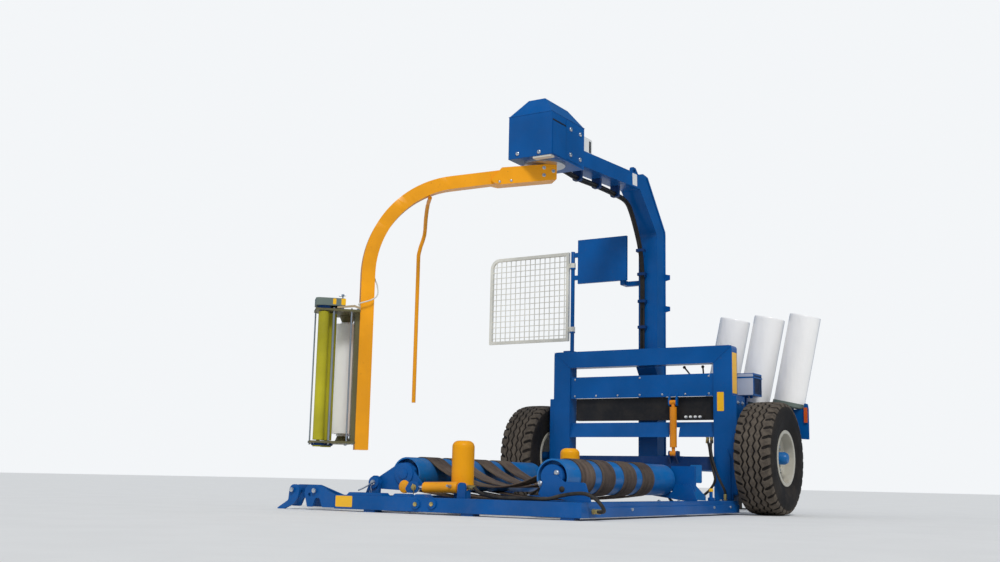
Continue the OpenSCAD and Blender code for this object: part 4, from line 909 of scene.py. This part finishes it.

# Portal trim: welded mitres, foot plates, valve levers with knobs, a valve block with spools, the control box's
# pale sheet as painted sky reflection, its ribs, backs, a stem and a cap on the frame, and the right bracket's
# plug
knob = [[0, 0], [10, 2], [13, 10], [10, 20], [0, 24]]
makeTrim(dict(
    portalWelds=("bluePaint", [
        (bar, (s * 644, 1609.5, a), (s * x, 1609.5, b), 2.6, 12, 8)
        for a, x, b in ((1177, 795, 1310), (915, 644, 735)) for s in bothSides]),
    portalFeet=("bluePaint", [
        (sheet, [[-60, 0], [60, 0], [60, 330], [30, 390], [-30, 390], [-60, 330]],
         (s * 719.5, 1610.5, 106), right, up, 8) for s in bothSides]),
    valveLevers=("blackPlastic", [
        (wire, [(425, 1662, 1092), (409, 1660, 1115), (385, 1652, 1146)], 6.5, 10),
        (wire, [(540, 1662, 1092), (540, 1660, 1115), (540, 1652, 1146)], 6.5, 10),
        (lathe, knob, (385, 1652, 1140), (-0.24, -0.25, 1), 18),
        (lathe, knob, (540, 1652, 1140), (0, -0.25, 1), 18)]),
    valveBlock=("ironBlack", [(sheet, (170, 30, 4), (460, 1655.5, 752), right, up, 14)]),
    valveSpools=("stickerWhite", [
        (lathe, [[0, 0], [10.5, 0], [10.5, 18], [7, 26], [0, 26]], (x, 1642, 752), back, 20)
        for x in (400, 440, 480, 520)]),
    # Pale sheet on the control box's rear face: painted sky reflection over the blue paint
    controlBoxSkyGlare=("skyReflectionPaint", [(sheet, (130, 170, 6), (815.5, 1859.5, 1020), right, up, 2.5)]),
    controlBoxRibs=("blackPlastic", [
        (sheet, (12, 150, 2), (885, y, 1020), front, up, 3.5) for y in np.linspace(1885, 2025, 6)]),
    frameCap=("stickerYellow", [
        (lathe, [[0, 0], [17, 0], [17, 14], [11, 22], [0, 24]], (757, 1250, 172), up, 24)]),
    frameStem=("bluePaint", [
        (lathe, [[0, 0], [24, 0], [24, 20], [13, 26], [13, 66], [0, 66]], (757, 1250, 105.5), up, 24)]),
    frameBacks=("rollerPaint", [
        (sheet, (92, 135, 10), (640, 1250.5, 300), right, up, 4),
        (sheet, [[0, 0], [110, 0], [110, 30], [20, 120], [0, 120]], (600, 1254.5, 105.5), right, up, -10)]),
    bracketPlug=("blackPlastic", [
        (lathe, [[0, 0], [18, 0], [18, 3], [13, 7], [0, 8]], (628.6, -825.1, 177.6), back, 24)]),
))
print("portal trimmed")

# Drawbar trim: the jack's grip and its clamp
makeTrim(dict(
    jackGrip=("blackPlastic", [
        (lathe, [[0, 0], [13, 2], [15, 12], [15, 88], [11, 98], [0, 100]], (240, 3560, 592), up, 20)]),
    jackClamp=("bluePaint", [(sheet, (110, 100, 10), (60.5, 3560, 400), front, up, 8)]),
))
print("drawbar trimmed")

# Film dispenser trim: guide rods, toothed gears outside both plates, the lever, the spring on its rod, and the
# cable's grommet
spring = dict(place=(1415, 70, 1345), radius=8, rise=60, turn=40, points=90)
t = np.linspace(0, 1, spring["points"])
coil = np.stack([spring["radius"] * np.cos(t * spring["turn"]), spring["radius"] * np.sin(t * spring["turn"]),
                 spring["rise"] * t], 1) + spring["place"]
makeTrim(dict(
    dispenserRods=("brushedSteel", [
        (bar, (x, y, lower - 10), (x, y, upper + 8), radius, 3, 14)
        for x, y, radius in ((1583, -50, 5.5), (1470, 82, 8), (1352, 86, 6))]),
    dispenserGears=("gearBlue", [
        (gear, (1475, -40, upper + 0.5), 30, 18, 17),
        (gear, (1535, 60, upper + 0.5), 42, 26, 17),
        (gear, (1475, -40, lower - 16.5), 40, 24, 15),
        (gear, (1535, 60, lower - 16.5), 40, 24, 15)]),
    dispenserLever=("tanLever", [
        (sheet, [[1296, 1350, 4], [1335, 1364, 12], [1452, 1349, 4], [1452, 1336, 4],
                 [1335, 1349, 12], [1296, 1336, 4]], (0, 104, 0), right, up, 6)]),
    dispenserSpring=("zincSteel", [
        (wire, coil, 2.2, 8),
        (lathe, [[0, 0], [12, 0], [12, 8], [5, 12], [5, 85], [11, 90], [11, 100], [0, 104]],
         (1415, 70, upper), up, 18),
        (bar, (1395, 70, 1430), (1440, 70, 1424), 4.5, 3, 10)]),
    cableGrommet=("blackPlastic", [
        (lathe, [[0, 0], [16, 0], [16, 4], [9, 8], [0, 8]], (1199, 0, 1560), left, 20)]),
), "arm")
print("dispenser trimmed")

filmSpec = dict(
    rolls=[(440, 2250, 868), (740, 2250, 868), (1040, 2250, 868)], lean=math.radians(12),
    radius=125, length=750, core=(38.5, 45.5), inner=46, windings=14, step=1.2,
    cup=[[0, -10], [60, -12], [122, -6], [131.5, 3], [131.5, 32], [126.5, 34], [126.5, -0.6], [0, -0.6]],
)


# Spare film rolls: a soft-edged roll with ring steps on its ends and a card core; the cups stand under them
def makeFilmRolls(t):
    axis = (math.sin(t["lean"]), 0, math.cos(t["lean"]))
    r, high = t["radius"], t["length"]
    steps = np.linspace(t["inner"], r - 6, t["windings"])
    wobble = t["step"] * (np.arange(t["windings"]) % 2)
    bottom = np.stack([steps, wobble + 0.5], 1)
    top = np.stack([steps, high - wobble - 0.5], 1)[::-1]
    edge = [[r - 3, 1.2], [r - 0.8, 5], [r - 0.3, 20]]
    side = edge + [[radius, high - rise] for radius, rise in edge[::-1]]
    roll = np.concatenate([bottom, side, top, [[t["inner"], 1]]])
    a, b = t["core"]
    core = [[a, 0], [b, 0], [b, high], [a, high], [a, 0]]

    def eachRoll(profile, sides):
        return [lathe("chassis", profile, base, axis, sides) for base in t["rolls"]]

    piece = joined("filmRolls", eachRoll(roll, 64), "filmWhite")
    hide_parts("film_rolls")
    joined("rollCores", eachRoll(core, 40), "cardboard")
    joined("rollCups", eachRoll(t["cup"], 48), "coverGrey")


makeFilmRolls(filmSpec)
print("film rolls made")

half = studio["floorSize"]
corners = [(-half, -half, 0), (half, -half, 0), (half, half, 0), (-half, half, 0)]
floorMesh = bpy.data.meshes.new("floor")
floorMesh.from_pydata(corners, [], [(0, 1, 2, 3)])
floorMesh.materials.append(materials["studioFloor"])
floor = bpy.data.objects.new("floor", floorMesh)
bpy.context.scene.collection.objects.link(floor)
print("floor laid")
